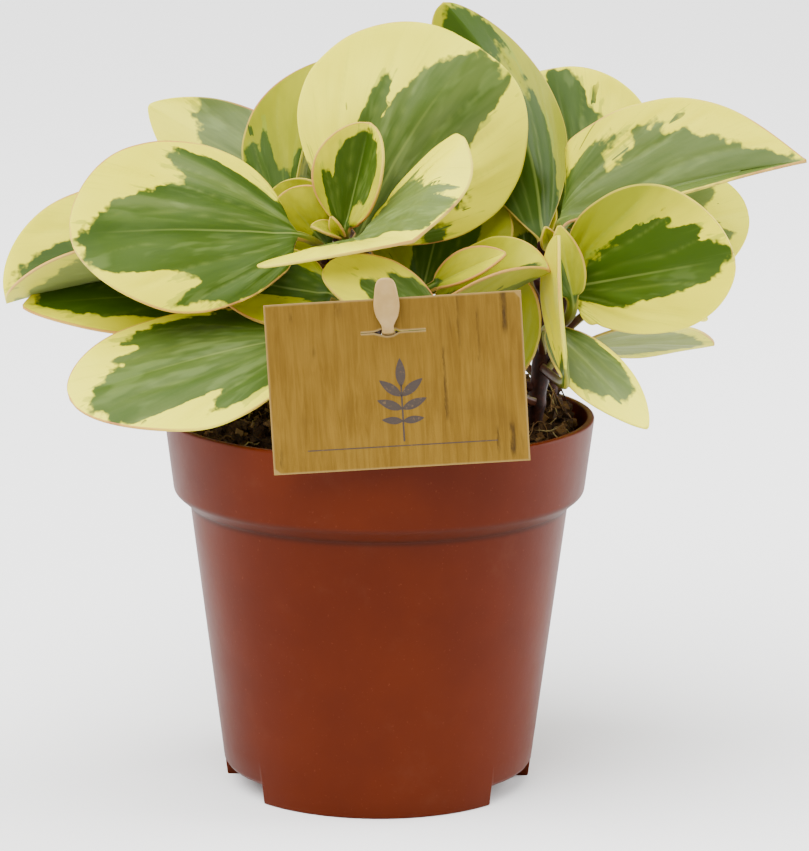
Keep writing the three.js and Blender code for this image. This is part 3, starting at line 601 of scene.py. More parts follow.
# Material building
class Nodes:
    """Short calls for the nodes of one material."""

    def __init__(self, tree):
        """Keeps the tree that the nodes are added to."""
        self.tree = tree

    def set(self, socket, value):
        """Links the output of a node to the socket, or sets a plain value on it."""
        if isinstance(value, bpy.types.NodeSocket):
            self.tree.links.new(value, socket)
        else:
            socket.default_value = value

    def fill(self, made, **inputs):
        """Sets inputs of a node by their names, with _ for a space."""
        for key, value in inputs.items():
            self.set(made.inputs[key.replace("_", " ")], value)
        return made

    def node(self, kind, **inputs):
        """A new node with those inputs."""
        return self.fill(self.tree.nodes.new(kind), **inputs)

    def value(self, name):
        """A value stored on the points of the mesh."""
        made = self.node("ShaderNodeAttribute")
        made.attribute_name = name
        return made.outputs["Fac"]

    def place(self):
        """The place on the object in metres."""
        return self.node("ShaderNodeTexCoord").outputs["Object"]

    def math(self, operation, first, second=0.0, clamp=False):
        """An operation on two values, kept within 0 and 1 when clamped."""
        made = self.node("ShaderNodeMath")
        made.operation = operation
        made.use_clamp = clamp
        self.set(made.inputs[0], first)
        self.set(made.inputs[1], second)
        return made.outputs[0]

    def add(self, first, second):
        """The first plus the second."""
        return self.math("ADD", first, second)

    def times(self, first, second):
        """The first times the second."""
        return self.math("MULTIPLY", first, second)

    def rest(self, value):
        """One less the value."""
        return self.math("SUBTRACT", 1.0, value)

    def step(self, value, low, high):
        """0 at low, 1 at high, and the smooth step between them."""
        made = self.node("ShaderNodeMapRange", Value=value, From_Min=low, From_Max=high)
        made.interpolation_type = "SMOOTHSTEP"
        return made.outputs["Result"]

    def vector(self, x, y, z):
        """A place with those three values."""
        return self.node("ShaderNodeCombineXYZ", X=x, Y=y, Z=z).outputs[0]

    def noise(self, vector, scale, detail=2.0, roughness=0.5, distortion=0.0):
        """Noise from about 0 to 1."""
        made = self.node(
            "ShaderNodeTexNoise", Vector=vector, Scale=scale, Detail=detail,
            Roughness=roughness, Distortion=distortion,
        )
        return made.outputs["Fac"]

    def even_noise(self, vector, scale, detail=2.0, roughness=0.5):
        """Noise from about -0.5 to 0.5."""
        return self.add(self.noise(vector, scale, detail, roughness), -0.5)

    def mix(self, share, first, second):
        """The first colour, with that share of the second."""
        made = self.node("ShaderNodeMix")
        made.data_type = "RGBA"
        self.set(made.inputs[0], share)
        self.set(made.inputs[6], first)
        self.set(made.inputs[7], second)
        return made.outputs[2]

    def tint(self, base, value, low, high, share, paint):
        """The base, with up to that share of a paint where the value rises from low to high."""
        return self.mix(self.times(self.step(value, low, high), share), base, colour(*paint))

    def bump(self, height, distance, strength):
        """The direction of a surface raised by the height times the distance."""
        made = self.node("ShaderNodeBump", Height=height, Distance=distance, Strength=strength)
        return made.outputs["Normal"]


def new_material(name):
    """A material, the calls that build its nodes, and its shader."""
    made = bpy.data.materials.new(name)
    made.use_nodes = True
    return made, Nodes(made.node_tree), made.node_tree.nodes["Principled BSDF"]


def leaf_material():
    """Green patches on cream and yellow.

    Green is where the painted reach less the place along the leaf, plus noise drawn out
    along the fan lines, is above zero. Half tones follow the same edge a little further out.
    """
    made, n, shader = new_material("leaf")
    fan = n.value("fan")
    along = n.value("along")
    tone = n.value("tone")
    under = n.value("under")
    seed = n.value("seed")
    place = n.place()

    def drawn(across, ahead, shift, detail=3.0, roughness=0.6):
        """Noise on the fan and the place along, moved by the shift and the leaf's own seed."""
        spot = n.vector(n.times(fan, across), n.times(along, ahead), n.add(seed, shift))
        return n.even_noise(spot, 1.0, detail, roughness)

    # Where the green lies
    bumps = n.times(n.even_noise(place, 270.0, 1.0), 0.13)
    ragged = n.add(bumps, n.times(n.even_noise(place, 700.0, 1.0), 0.05))
    reach = n.add(n.value("zone"), n.add(ragged, n.times(drawn(20.0, 5.0, 0.0), 0.05)))
    green = n.step(reach, -0.018, 0.02)
    flecks = n.step(drawn(16.0, 7.0, 5.0, 1.0), 0.22, 0.235)
    green = n.math("MAXIMUM", green, n.times(flecks, n.step(reach, -0.22, -0.05)))
    half_tone = n.step(n.add(reach, n.times(drawn(13.0, 3.0, 9.0), 0.8)), 0.0, 0.05)

    # The green itself, from dark to grey green: the leaf's own greens, with the greys partly
    #     # painted sheen and the darkest partly painted shade
    shade = n.add(tone, n.times(drawn(10.0, 2.2, 4.0), 0.9))
    dark = n.mix(n.step(shade, 0.1, 0.45), colour(48, 70, 9), colour(59, 81, 15))
    dark = n.mix(n.step(shade, 0.45, 0.9), dark, colour(84, 101, 42))
    dark = n.mix(n.step(shade, 0.9, 1.5), dark, colour(112, 128, 66))
    mottle = n.times(n.step(drawn(9.0, 3.5, 12.0, 2.0, 0.7), 0.02, 0.16), tone)
    dark = n.mix(n.times(mottle, 0.45), dark, colour(120, 138, 74))
    dark = n.tint(dark, drawn(45.0, 2.5, 6.0, 2.0), 0.08, 0.3, 0.1, (100, 118, 48))

    # The ground under it, from yellow green to pale yellow, with half tones; the yellow green
    #     # end is partly painted shade
    pale = n.add(n.value("cream"), n.times(drawn(3.0, 2.0, 3.0), 0.7))
    light = n.mix(n.step(pale, -1.1, 0.1), colour(124, 128, 3), colour(222, 214, 0))
    light = n.mix(n.step(pale, 0.1, 0.9), light, colour(240, 233, 44))
    light = n.tint(light, drawn(60.0, 3.0, 7.0, 2.0), 0.05, 0.25, 0.14, (150, 158, 50))
    light = n.mix(n.times(half_tone, 0.45), light, colour(120, 140, 42))
    mixed = n.mix(green, light, dark)

    # Midrib and side veins
    line = n.rest(n.step(n.value("rib"), 0.1, 0.5))
    line = n.math("MULTIPLY", line, n.math("SUBTRACT", 0.9, along), clamp=True)
    mixed = n.mix(n.times(line, 0.45), mixed, colour(150, 164, 80))
    mixed = n.mix(n.times(n.value("vein"), 0.12), mixed, colour(150, 164, 76))

    # Rim, from yellow to pink brown
    rim_width = n.add(0.15, n.times(n.noise(place, 160.0, 2.0), 0.5))
    rim = n.rest(n.step(n.math("DIVIDE", n.value("edge"), rim_width), 0.4, 1.1))
    blush = n.step(n.noise(place, 22.0, 2.0), 0.36, 0.62)
    rim_colour = n.mix(blush, colour(222, 206, 70), colour(190, 124, 70))
    mixed = n.mix(n.times(rim, n.add(0.2, n.times(blush, 0.6))), mixed, rim_colour)

    # Stalk, and the duller underside
    down = n.times(along, -1.0)
    stalk = n.mix(n.step(down, 0.1, 0.75), colour(100, 106, 26), colour(62, 30, 14))
    mixed = n.mix(n.step(down, 0.0, 0.35), mixed, stalk)
    dull = n.mix(0.5, mixed, colour(150, 156, 84))
    grain = n.noise(place, 900.0, 3.0, 0.6)
    pores = n.add(n.times(grain, 0.5), n.times(n.noise(place, 220.0), 0.8))
    n.fill(
        shader,
        Base_Color=n.mix(n.times(under, 0.7), mixed, dull),
        Roughness=n.add(n.add(0.38, n.times(grain, 0.1)), n.times(under, 0.2)),
        Normal=n.bump(pores, 0.0002, 0.35),
        Subsurface_Weight=0.12,
        Subsurface_Radius=(0.9, 0.7, 0.15),
        Subsurface_Scale=0.002,
        Specular_IOR_Level=n.add(0.08, n.times(tone, 0.13)),
    )
    return made


# Leaf
def leaf_frames(leaf, t):
    """The middle line of a blade at the shares t of its length: places, and the ways up and left.

    It is an arc from base to tip that turns by the bend, and it sways aside by the leaf's
    side times 4 t (1 - t). The blade's length and its direction at the base come last.
    """
    base = np.array(leaf["base"], float)
    chord = np.array(leaf["tip"], float) - base
    length = np.linalg.norm(chord)
    ahead = chord / length
    face = np.array(leaf["face"], float)
    normal = unit(face - ahead * (face @ ahead))
    left = np.cross(normal, ahead)
    bend = math.radians(leaf["bend"])
    radius = length / (2 * math.sin(bend / 2))
    beta = bend * (t - 0.5)
    forward = radius * (math.sin(bend / 2) + np.sin(beta))
    lift = radius * (np.cos(beta) - math.cos(bend / 2))
    sway = leaf["side"] * 4 * t * (1 - t)
    places = base + np.outer(forward, ahead) + np.outer(lift, normal) + np.outer(sway, left)
    up = np.outer(np.sin(beta), ahead) + np.outer(np.cos(beta), normal)
    first_ahead = math.cos(bend / 2) * ahead + math.sin(bend / 2) * normal
    return places, up, np.repeat(left[None], len(t), 0), length, first_ahead


def stem_at(name, height):
    """The middle of a stem at a height, on straight lines between its places."""
    rows = np.array(STEMS[name], float)
    return np.array([np.interp(height, rows[:, 2], rows[:, k]) for k in range(3)])


def stalk_frames(leaf, first_ahead):
    """The stalk at the shares q of its length: q, places, and the ways up and left.

    It is a curve of the second degree from stem to blade. Its control point lies straight
    behind the blade's base.
    """
    start = stem_at(leaf["stem"], leaf["node"])
    base = np.array(leaf["base"], float)
    control = base - first_ahead * np.linalg.norm(base - start) * leaf["sweep"]
    q = np.linspace(0, 1, STALK_STEPS)[:-1]
    places = np.outer((1 - q) ** 2, start) + np.outer(2 * q * (1 - q), control)
    places = places + np.outer(q * q, base)
    way = units(np.outer(1 - q, control - start) + np.outer(q, base - control))
    first_up = leaf_frames(leaf, np.zeros(1))[1][0]
    up = units(first_up - way * (way @ first_up)[:, None])
    return q, places, up, np.cross(up, way)


def leaf_rows(leaf, steps):
    """The rows of a leaf, the stalk's first, with what each one measures.

    The outline is a power of the sine of pi times a power of t. Near the base the blade
    takes over from the stalk's width and thickness.
    """
    x = np.linspace(0, 1, steps)
    t = 0.5 * x + 0.25 * (1 - np.cos(math.pi * x))
    t[0] = 0.004
    places, up, left, length, first_ahead = leaf_frames(leaf, t)
    q, stalk, stalk_up, stalk_left = stalk_frames(leaf, first_ahead)

    def column(before, after):
        """One value for all rows of the stalk, and then the blade's values."""
        return np.concatenate([np.full(len(q), before), after])[:, None]

    power, at_base, at_tip = leaf["shape"]
    arc = np.maximum(np.sin(math.pi * np.clip(t, 0, 1) ** power), 0)
    outline = arc ** (at_base + (at_tip - at_base) * t)
    neck = NECK * (1 - t) + TIP_HALF * t
    share = column(0, outline)
    early = column(1, np.maximum(0, 1 - t * STALK_FADE))
    return SimpleNamespace(
        length=length,
        places=np.concatenate([stalk, places])[:, None],
        up=np.concatenate([stalk_up, up])[:, None],
        left=np.concatenate([stalk_left, left])[:, None],
        blade=np.concatenate([q - 1, t])[:, None],
        share=share,
        early=early,
        half=column(NECK, np.hypot(outline * leaf["width"] / 2, neck)),
        thick=MIDDLE_HALF + (STALK_HALF - MIDDLE_HALF) * early - 0.2 * column(0, t),
        wave=column(0, leaf["wave"] * np.sin(9 * t)) * share,
    )


def section(columns):
    """Places round a leaf's section: share across, face up 1 or down -1, and outward share."""
    x = np.linspace(-1, 1, columns)
    across = 0.6 * x + 0.4 * np.sin(x * math.pi / 2)
    rim = np.radians([40.0, 90.0, 140.0])
    v = np.concatenate([across, [1, 1, 1], across[::-1], [-1, -1, -1]])
    face = np.concatenate([np.ones(columns), np.cos(rim), -np.ones(columns), -np.cos(rim)])
    out = np.concatenate([np.zeros(columns), np.sin(rim), np.zeros(columns), np.sin(rim)])
    return v, face, out


def half_values(leaf, rows, v):
    """The left or right half's share of the width, fold and curl, at each place of each row."""
    sides = np.where(v > 0, 0, 1)
    halves = 1 + (np.array(leaf["halves"])[sides] - 1)[None] * (1 - rows.early)
    ease = leaf["even"] * smooth_step(0.6, 1, rows.blade) * (v > 0)
    fold = np.array(leaf["fold"])[sides][None] * (1 - rows.early ** 2)
    fold = np.radians(fold - ease * sum(leaf["fold"]) / 2)
    turn = np.radians(np.array(leaf["curl"])[sides])[None] * rows.share
    return halves, fold, np.where(np.abs(turn) < 1e-4, 1e-4, turn)


def rim_ripple(blade, sign, rng):
    """Four sine waves of random height, length and start along each side of the rim."""
    return sum(
        rng.uniform(0.4, 1) * np.sin(blade * rng.uniform(8, 34) + rng.uniform(0, 6) + sign * 2)
        for _ in range(4)
    )


def side_veins(fan, on_blade, spread, rng):
    """How much vein and groove a place has: bell curves of its distance from wavy fan lines."""
    vein = np.zeros_like(fan)
    groove = np.zeros_like(fan)
    for line in VEIN_FANS:
        for which in (-1, 1):
            middle = which * line * (1 + 0.12 * rng.uniform(-1, 1))
            middle = middle + 0.02 * np.sin(on_blade * 9 + rng.uniform(0, 6))
            gap = (fan - middle) * spread
            vein = np.maximum(vein, np.exp(-(gap / VEIN_HALF) ** 2))
            groove = np.maximum(groove, np.exp(-(gap / GROOVE_HALF) ** 2))
    return vein, groove


def painted(rows):
    """Fan, reach and tone of each point of a pattern, from its rows in hundredths."""
    points = [(row[i], row[i + 1], row[0]) for row in rows for i in range(1, len(row), 2)]
    return (np.array(points) / 100).T


def green_zone(name, fan, distance, on_blade, length):
    """How far the green's edge lies beyond a place, as a share of the length, and its tone."""
    fans, reaches, tones = painted(PAINT.get(name, PLAIN_PAINT))
    zone = np.interp(fan, fans, reaches) - on_blade
    for aside, ahead, radius in SPOTS.get(name, []):
        off = np.hypot(distance - aside, on_blade * length - ahead)
        inside = (abs(radius) - off) / length
        zone = np.maximum(zone, inside) if radius > 0 else np.minimum(zone, -inside)
    return zone, np.interp(fan, fans, tones)


def build_leaf(name, leaf, number, material, node):
    """One leaf: stalk and blade as a closed tube of sections, with veins pressed in.

    Each half of a section starts at the fold's angle, turns by the curl, and thins to the rim
    by a power of what is left of the way out.
    """
    rng = np.random.default_rng(SEED + number)
    columns, steps = LARGE_GRID if leaf["width"] >= LARGE else SMALL_GRID
    v, face, out = section(columns)
    rows = leaf_rows(leaf, steps)
    blade = rows.blade
    length = rows.length
    part = np.abs(v)[None]
    sign = np.sign(v)[None]
    halves, fold, turn = half_values(leaf, rows, v)
    end = fold + turn * part
    ripple = rim_ripple(blade, sign, rng)
    reach = rows.half * halves * (1 + 0.006 * ripple * (blade > 0.1) * (1 - blade))
    aside = sign * reach * (np.sin(end) - np.sin(fold)) / turn
    rise = reach * (np.cos(fold) - np.cos(end)) / turn + rows.wave * part ** 2
    cos_tilt = np.cos(sign * end)[..., None]
    sin_tilt = np.sin(sign * end)[..., None]
    normal = rows.up * cos_tilt - rows.left * sin_tilt
    tangent = rows.left * cos_tilt + rows.up * sin_tilt
    roundness = 0.5 + 1.5 * (1 - rows.early)
    h = MARGIN_HALF + (rows.thick - MARGIN_HALF) * (1 - part) ** roundness

    on_blade = np.clip(blade, 0, 1)
    distance = v[None] * reach
    spread = length * (on_blade + FAN_START) ** FAN_POWER
    fan = distance / spread
    vein, groove = side_veins(fan, on_blade, spread, rng)
    fade = smooth_step(0.02, 0.12, on_blade) * (1 - smooth_step(0.6, 0.98, on_blade))
    inner = smooth_step(0, 0.28, 1 - part)
    rib = np.exp(-distance ** 2) * (1 - on_blade) * smooth_step(0.0, 0.1, on_blade)
    swell = lattice_noise(fan * 10, on_blade * 10, 2.2, SEED + number) * inner * rows.share
    scale = min(leaf["width"] / 50, 1)
    above = scale * (0.7 * swell - 0.36 * groove * fade * inner) - 0.4 * rib
    below = 0.35 * rib - scale * 0.4 * swell + 0.12 * groove * fade * inner
    relief = np.where(face > 0.99, above, np.where(face < -0.99, -below, 0))
    height = h * face[None] + relief
    points = rows.places + rows.left * aside[..., None] + rows.up * rise[..., None]
    points = points + normal * height[..., None]
    points = points + tangent * (sign * out[None] * h * 0.7)[..., None]

    ones = np.ones_like(fan)
    zone, tone = green_zone(name, fan, distance, on_blade, length)
    edge = np.minimum((1 - part) * rows.half * halves, (1 - blade) * length * 0.8)
    # The light colour, lowered on the left half by the fall per fan: painted shade on that half
    cream = CREAM.get(name, PLAIN_CREAM) - CREAM_SHADE_SLOPE.get(name, 0.0) * fan
    values = {
        "fan": fan,
        "along": blade * ones,
        "zone": zone,
        "tone": tone,
        "edge": edge * max(SLIM_WIDTH / leaf["width"], 1),
        "rib": np.abs(distance),
        "vein": vein * fade * inner,
        "under": (0.5 - 0.5 * face)[None] * ones,
        "seed": ones * (number * 3.7),
        "cream": cream + 0.5 * (on_blade - 0.5),
    }
    faces = tube_faces(len(blade), len(v))
    make_piece(name + "_fine", points, faces, material, node, values)


leaf_skin = leaf_material()
for number, (name, leaf) in enumerate(LEAVES.items()):
    build_leaf(name, leaf, number, leaf_skin, name)
for number, (name, leaf) in enumerate(BUDS.items()):
    build_leaf(name, leaf, BUD_NUMBER + number, leaf_skin, None)

# Stem
STEM_SIDES = 20
STEM_STEPS = 90
STEM_LEAST = 0.4
JOINT_SWELL = 0.14
JOINT_REACH = 1.6
BARK_UNEVEN = 0.03
STUB_STEPS = 12
STUB_LIFT = 0.8
STUB_SHARE = 0.3


def tube_rings(places, radii, sides):
    """Rings of points across a curved line, each round the line's own direction."""
    ahead = units(np.gradient(places, axis=0))
    left = units(np.cross([0.0, -1.0, 0.0], ahead))
    up = np.cross(ahead, left)
    angle = -2 * math.pi * np.arange(sides) / sides
    aside = left[:, None] * np.cos(angle)[None, :, None]
    rise = up[:, None] * np.sin(angle)[None, :, None]
    return places[:, None] + (aside + rise) * np.reshape(radii, (len(places), -1, 1))


def smooth_rows(rows, steps):
    """Rows of numbers joined by a curve of the third degree through each of them."""
    rows = np.array(rows, float)
    padded = np.concatenate([2 * rows[:1] - rows[1:2], rows, 2 * rows[-1:] - rows[-2:-1]])
    x = np.linspace(0, len(rows) - 1, steps)
    i = np.minimum(x.astype(int), len(rows) - 2)
    f = (x - i)[:, None]
    a, b, c, d = padded[i], padded[i + 1], padded[i + 2], padded[i + 3]
    curve = 2 * b + (c - a) * f + (2 * a - 5 * b + 4 * c - d) * f ** 2
    return 0.5 * (curve + (3 * b - a - 3 * c + d) * f ** 3)


def stem_material():
    """Reddish brown bark below, greener and lighter at the top, with small spots."""
    made, n, shader = new_material("stem")
    spots = n.noise(n.place(), 420.0, 3.0, 0.6)
    low = n.mix(n.step(spots, 0.35, 0.65), colour(30, 10, 5), colour(54, 22, 12))
    high = n.mix(n.step(spots, 0.35, 0.65), colour(58, 34, 14), colour(80, 54, 22))
    n.fill(
        shader,
        Base_Color=n.mix(n.step(n.value("height"), 0.35, 0.95), low, high),
        Roughness=n.add(0.42, n.times(spots, 0.2)),
        Normal=n.bump(spots, 0.0003, 0.5),
        Specular_IOR_Level=0.15,
    )
    return made


def stub_rings(name, height, aside, ahead, rise, radius):
    """A stub of a shed stalk: a short tube that bends up and has a rounded end."""
    x = np.linspace(0, 1, STUB_STEPS)[:, None]
    reach = np.array([aside, ahead, rise], float)
    places = stem_at(name, height) + reach * x + np.array([0, 0, STUB_LIFT]) * x * x
    swell = radius * (1 - 0.45 * x) * np.sqrt(np.maximum(1 - x ** 8, 0.02))
    return tube_rings(places, swell * np.ones((1, STEM_SIDES)), STEM_SIDES)


def build_stem(name, rows, number, material):
    """One stem with its stubs, thicker by a bell curve at the joints where leaves leave it."""
    rng = np.random.default_rng(STEM_SEED + number)
    line = smooth_rows(rows, STEM_STEPS)
    radii = np.maximum(line[:, 3:], STEM_LEAST) * np.ones((1, STEM_SIDES))
    for leaf in LEAVES.values():
        if leaf["stem"] == name:
            off = (line[:, 2:3] - leaf["node"]) / JOINT_REACH
            radii *= 1 + JOINT_SWELL * np.exp(-(off ** 2))
    radii *= 1 + BARK_UNEVEN * rng.uniform(-1, 1, radii.shape)
    tubes = [tube_rings(line[:, :3], radii, STEM_SIDES)]
    tubes += [stub_rings(name, *stub) for stub in STUBS.get(name, [])]
    points, faces = joined([(rings, tube_faces(len(rings), STEM_SIDES)) for rings in tubes])
    shares = np.full(len(points) // STEM_SIDES, STUB_SHARE)
    shares[:STEM_STEPS] = np.linspace(0, 1, STEM_STEPS)
    values = {"height": np.repeat(shares, STEM_SIDES)}
    make_piece(name + "_fine", points, faces, material, name, values)


bark = stem_material()
for number, (name, rows) in enumerate(STEMS.items()):
    build_stem(name, rows, number, bark)

# Pot sizes as in the solids, except the collar's top, which lies 2.2 lower
FLOOR_UNDER = 5.5
FLOOR_TOP = 7.3
FOOT_INNER = 39.0
FOOT_OUTER = 42.7
COLLAR_BOTTOM = 80.0
COLLAR_TOP = 83.8
COLLAR_WALL = 0.8
RIM_HEIGHT = 105
NOTCH_HALF = 21.5
NOTCH_MIDDLES = (90.0, 201.5, 338.5)

# Turns of the pot's grid in degrees, and half of the gap between the two at a notch's side
POT_TURN = 1.5
NOTCH_EDGE = 0.05

# Longest step up the profile, and steps round each eased corner
POT_STEP = 6
POT_CORNER = 6

# Profile of the pot: distance from the middle, height, and how much the corner is eased
POT_PROFILE = [
    (0, 0, 0), (9, 0, 0.3), (9, FLOOR_UNDER, 0.3), (FOOT_INNER, FLOOR_UNDER, 0.6),
    (FOOT_INNER, 0, 0.5), (FOOT_OUTER, 0, 0.6), (52.9, COLLAR_BOTTOM, 0.5),
    (57.4, COLLAR_TOP, 1.2), (60.05, RIM_HEIGHT, 0.9), (58.0, RIM_HEIGHT, 0.5),
    (55.8, COLLAR_TOP + COLLAR_WALL, 0.8), (51.3, COLLAR_BOTTOM + COLLAR_WALL, 0.8),
    (41.2, FLOOR_TOP, 1.5), (0, FLOOR_TOP, 0),
]


def rounded_profile(rows, steps):
    """A profile with a curve of the second degree at each corner and short steps between."""
    points = [np.array(row[:2], float) for row in rows]
    made = [points[0]]
    for i in range(1, len(rows) - 1):
        back = points[i - 1] - points[i]
        on = points[i + 1] - points[i]
        cut = min(rows[i][2], np.linalg.norm(back) * 0.45, np.linalg.norm(on) * 0.45)
        a = points[i] + unit(back) * cut
        b = points[i] + unit(on) * cut
        for x in np.linspace(0, 1, steps):
            made.append(a * (1 - x) ** 2 + points[i] * 2 * x * (1 - x) + b * x * x)
    made.append(points[-1])
    fine = [made[0]]
    for start, end in zip(made, made[1:]):
        pieces = max(int(np.linalg.norm(end - start) / POT_STEP), 1)
        for x in np.arange(1, pieces + 1) / pieces:
            fine.append(start * (1 - x) + end * x)
    return np.array(fine)


def pot_material():
    """Terracotta coloured plastic with a satin skin, faint flow marks, specks and scuffs.

    It has painted shade on the slope under the collar, and a darker painted shadow line
    along the slope's lower edge.
    """
    made, n, shader = new_material("pot")
    place = n.place()
    clouds = n.noise(place, 18.0, 4.0, 0.6)
    specks = n.noise(place, 1400.0, 2.0, 0.5)
    dust = n.noise(place, 60.0, 5.0, 0.7)
    height = n.value("height")
    base = n.mix(n.step(clouds, 0.3, 0.7), colour(70, 20, 1), colour(79, 25, 2))
    base = n.tint(base, specks, 0.68, 0.74, 0.3, (112, 58, 36))
    base = n.tint(base, dust, 0.52, 0.8, 0.08, (112, 76, 56))
    # Painted shade on the slope under the collar
    slope = n.times(n.step(height, 79.6, 80.6), n.step(height, 85.0, 83.4))
    base = n.mix(n.times(slope, 0.45), base, colour(48, 14, 1))
    # A painted shadow line along the slope's lower edge
    shadow_line = n.times(n.step(height, 78.4, 79.8), n.step(height, 81.4, 80.2))
    base = n.mix(n.times(shadow_line, 0.5), base, colour(30, 11, 4))
    grain = n.add(n.times(specks, 0.3), n.noise(place, 300.0, 3.0, 0.6))
    n.fill(
        shader,
        Base_Color=base,
        Roughness=n.add(0.36, n.times(dust, 0.16)),
        Normal=n.bump(grain, 0.0001, 0.3),
        Specular_IOR_Level=0.07,
    )
    return made


def build_pot(material):
    """The profile turned round the upright axis, with the foot lifted in its gaps."""
    profile = rounded_profile(POT_PROFILE, POT_CORNER)
    angles = list(np.arange(0, 360, POT_TURN))
    for middle in NOTCH_MIDDLES:
        for side in (-NOTCH_HALF, NOTCH_HALF):
            angles += [middle + side - NOTCH_EDGE, middle + side + NOTCH_EDGE]
    angles = np.unique(np.mod(angles, 360))
    inside = np.zeros(len(angles), bool)
    for middle in NOTCH_MIDDLES:
        inside |= np.abs(angles - middle) < NOTCH_HALF
    radius = profile[:, 0][:, None]
    height = np.repeat(profile[:, 1][:, None], len(angles), 1)
    foot = (profile[:, 0] > FOOT_INNER - 2)[:, None] & (height < FLOOR_UNDER)
    height = np.where(foot & inside[None], FLOOR_UNDER, height)
    points = polar(radius, np.radians(angles)[None], height)
    faces = grid_faces(len(profile), len(angles))[:, ::-1]
    make_piece("pot_fine", points, faces, material, "pot", {"height": height})


build_pot(pot_material())

# Soil: the solid's top and side, and a heap at the stems on the right
SOIL_TOP = 99.0
SOIL_RADIUS = 56.2
SOIL_RINGS = 110
SOIL_SPOKES = 260
SOIL_SIDE = ((56.1, 90.0), (50.7, 80.8), (41.4, 9.1), (40.2, 7.6), (1.0, 7.6))
HEAP_X = 47
HEAP_Y = 13
HEAP_HEIGHT = 15
HEAP_SPREAD = 300

# Lumps of the soil's top: distance between them, and height
SOIL_LUMPS = ((7.0, 0.8), (3.2, 0.8), (1.6, 0.45), (0.9, 0.2))

# Crumbs, every seventh of them a larger one, and fibres with their grid
CRUMBS = 2200
LARGER_CRUMB = 1.8
FIBRES = 300
FIBRE_SIDES = 5
FIBRE_STEPS = 9
FIBRE_LIFT = 0.9

# Corners and sides of a box
CORNERS = np.array([
    (-1, -1, -1), (1, -1, -1), (1, 1, -1), (-1, 1, -1),
    (-1, -1, 1), (1, -1, 1), (1, 1, 1), (-1, 1, 1),
])
QUADS = np.array([
    (0, 3, 2, 1), (4, 5, 6, 7), (0, 1, 5, 4), (1, 2, 6, 5), (2, 3, 7, 6), (3, 0, 4, 7),
])


def soil_height(x, y):
    """The solid's surface, two products of waves and a fall toward the wall, and a bell's heap."""
    broad = np.sin(x * 0.19 + 1.3) * np.cos(y * 0.23 - 0.4)
    lumps = np.sin(x * 0.53 + y * 0.31) * np.cos(y * 0.47 - x * 0.22 + 0.9)
    edge = np.minimum(np.hypot(x, y) / 56, 1)
    bell = np.exp(-((x - HEAP_X) ** 2 + (y - HEAP_Y) ** 2) / HEAP_SPREAD)
    heap = HEAP_HEIGHT * bell * (1 - edge ** 18)
    return SOIL_TOP + 1.2 * broad + 1.1 * lumps - 1.6 * edge ** 3 + heap


def soil_material():
    """Dark peat whose grains differ by a tint stored on the points."""
    made, n, shader = new_material("soil")
    tint = n.value("tint")
    grain = n.noise(n.place(), 700.0, 4.0, 0.7)
    base = n.mix(n.step(grain, 0.35, 0.7), colour(27, 15, 6), colour(70, 47, 24))
    base = n.mix(n.step(tint, 0.3, 0.7), base, colour(104, 76, 44))
    base = n.mix(n.step(tint, 0.75, 0.95), base, colour(140, 124, 80))
    normal = n.bump(grain, 0.001, 0.7)
    n.fill(shader, Base_Color=base, Roughness=0.9, Normal=normal, Specular_IOR_Level=0.15)
    return made


def build_soil(material):
    """The soil's top on a fine round grid with lumps of four sizes, and its side."""
    radius = np.linspace(0.3, SOIL_RADIUS, SOIL_RINGS)[:, None]
    angle = 2 * math.pi * np.arange(SOIL_SPOKES) / SOIL_SPOKES
    top = polar(radius, angle, 0.0)
    x, y = top[..., 0], top[..., 1]
    top[..., 2] = soil_height(x, y)
    for size, height in SOIL_LUMPS:
        top[..., 2] += height * lattice_noise(x, y, size, SEED + int(size * 10))
    side = [polar(r, angle, low) for r, low in SOIL_SIDE]
    points = np.concatenate([top, side])
    faces = tube_faces(len(points), SOIL_SPOKES)
    tint = 0.35 * lattice_noise(points[..., 0], points[..., 1], 1.7, TINT_SEED) + 0.1
    make_piece("soil_fine", points, faces, material, "soil", {"tint": tint})


def build_crumbs(material):
    """Peat crumbs and bark chips: small boxes with shifted corners, turned and partly sunk."""
    rng = np.random.default_rng(CRUMB_SEED)
    spread = SOIL_RADIUS * np.sqrt(rng.uniform(0, 0.96, CRUMBS))
    middle = polar(spread, rng.uniform(0, 2 * math.pi, CRUMBS), 0.0)
    middle[:, 2] = soil_height(middle[:, 0], middle[:, 1]) + rng.uniform(0.1, 0.9, CRUMBS)
    size = rng.uniform(0.4, 1.1, (CRUMBS, 1)) * rng.uniform(0.5, 1.3, (CRUMBS, 3))
    size[::7] *= LARGER_CRUMB
    box = CORNERS[None] * size[:, None] * (1 + 0.35 * rng.uniform(-1, 1, (CRUMBS, 8, 3)))
    turn = np.linalg.qr(rng.normal(size=(CRUMBS, 3, 3)))[0]
    turn *= np.sign(np.linalg.det(turn))[:, None, None]
    points = np.einsum("nij,nkj->nki", turn, box) + middle[:, None]
    faces = (np.arange(CRUMBS)[:, None, None] * 8 + QUADS[None]).reshape(-1, 4)
    kind = rng.uniform(0, 1, CRUMBS) ** 2.2
    values = {"tint": np.repeat(kind * 0.85, 8)}
    make_piece("soil_crumbs", points, faces, material, None, values, False)


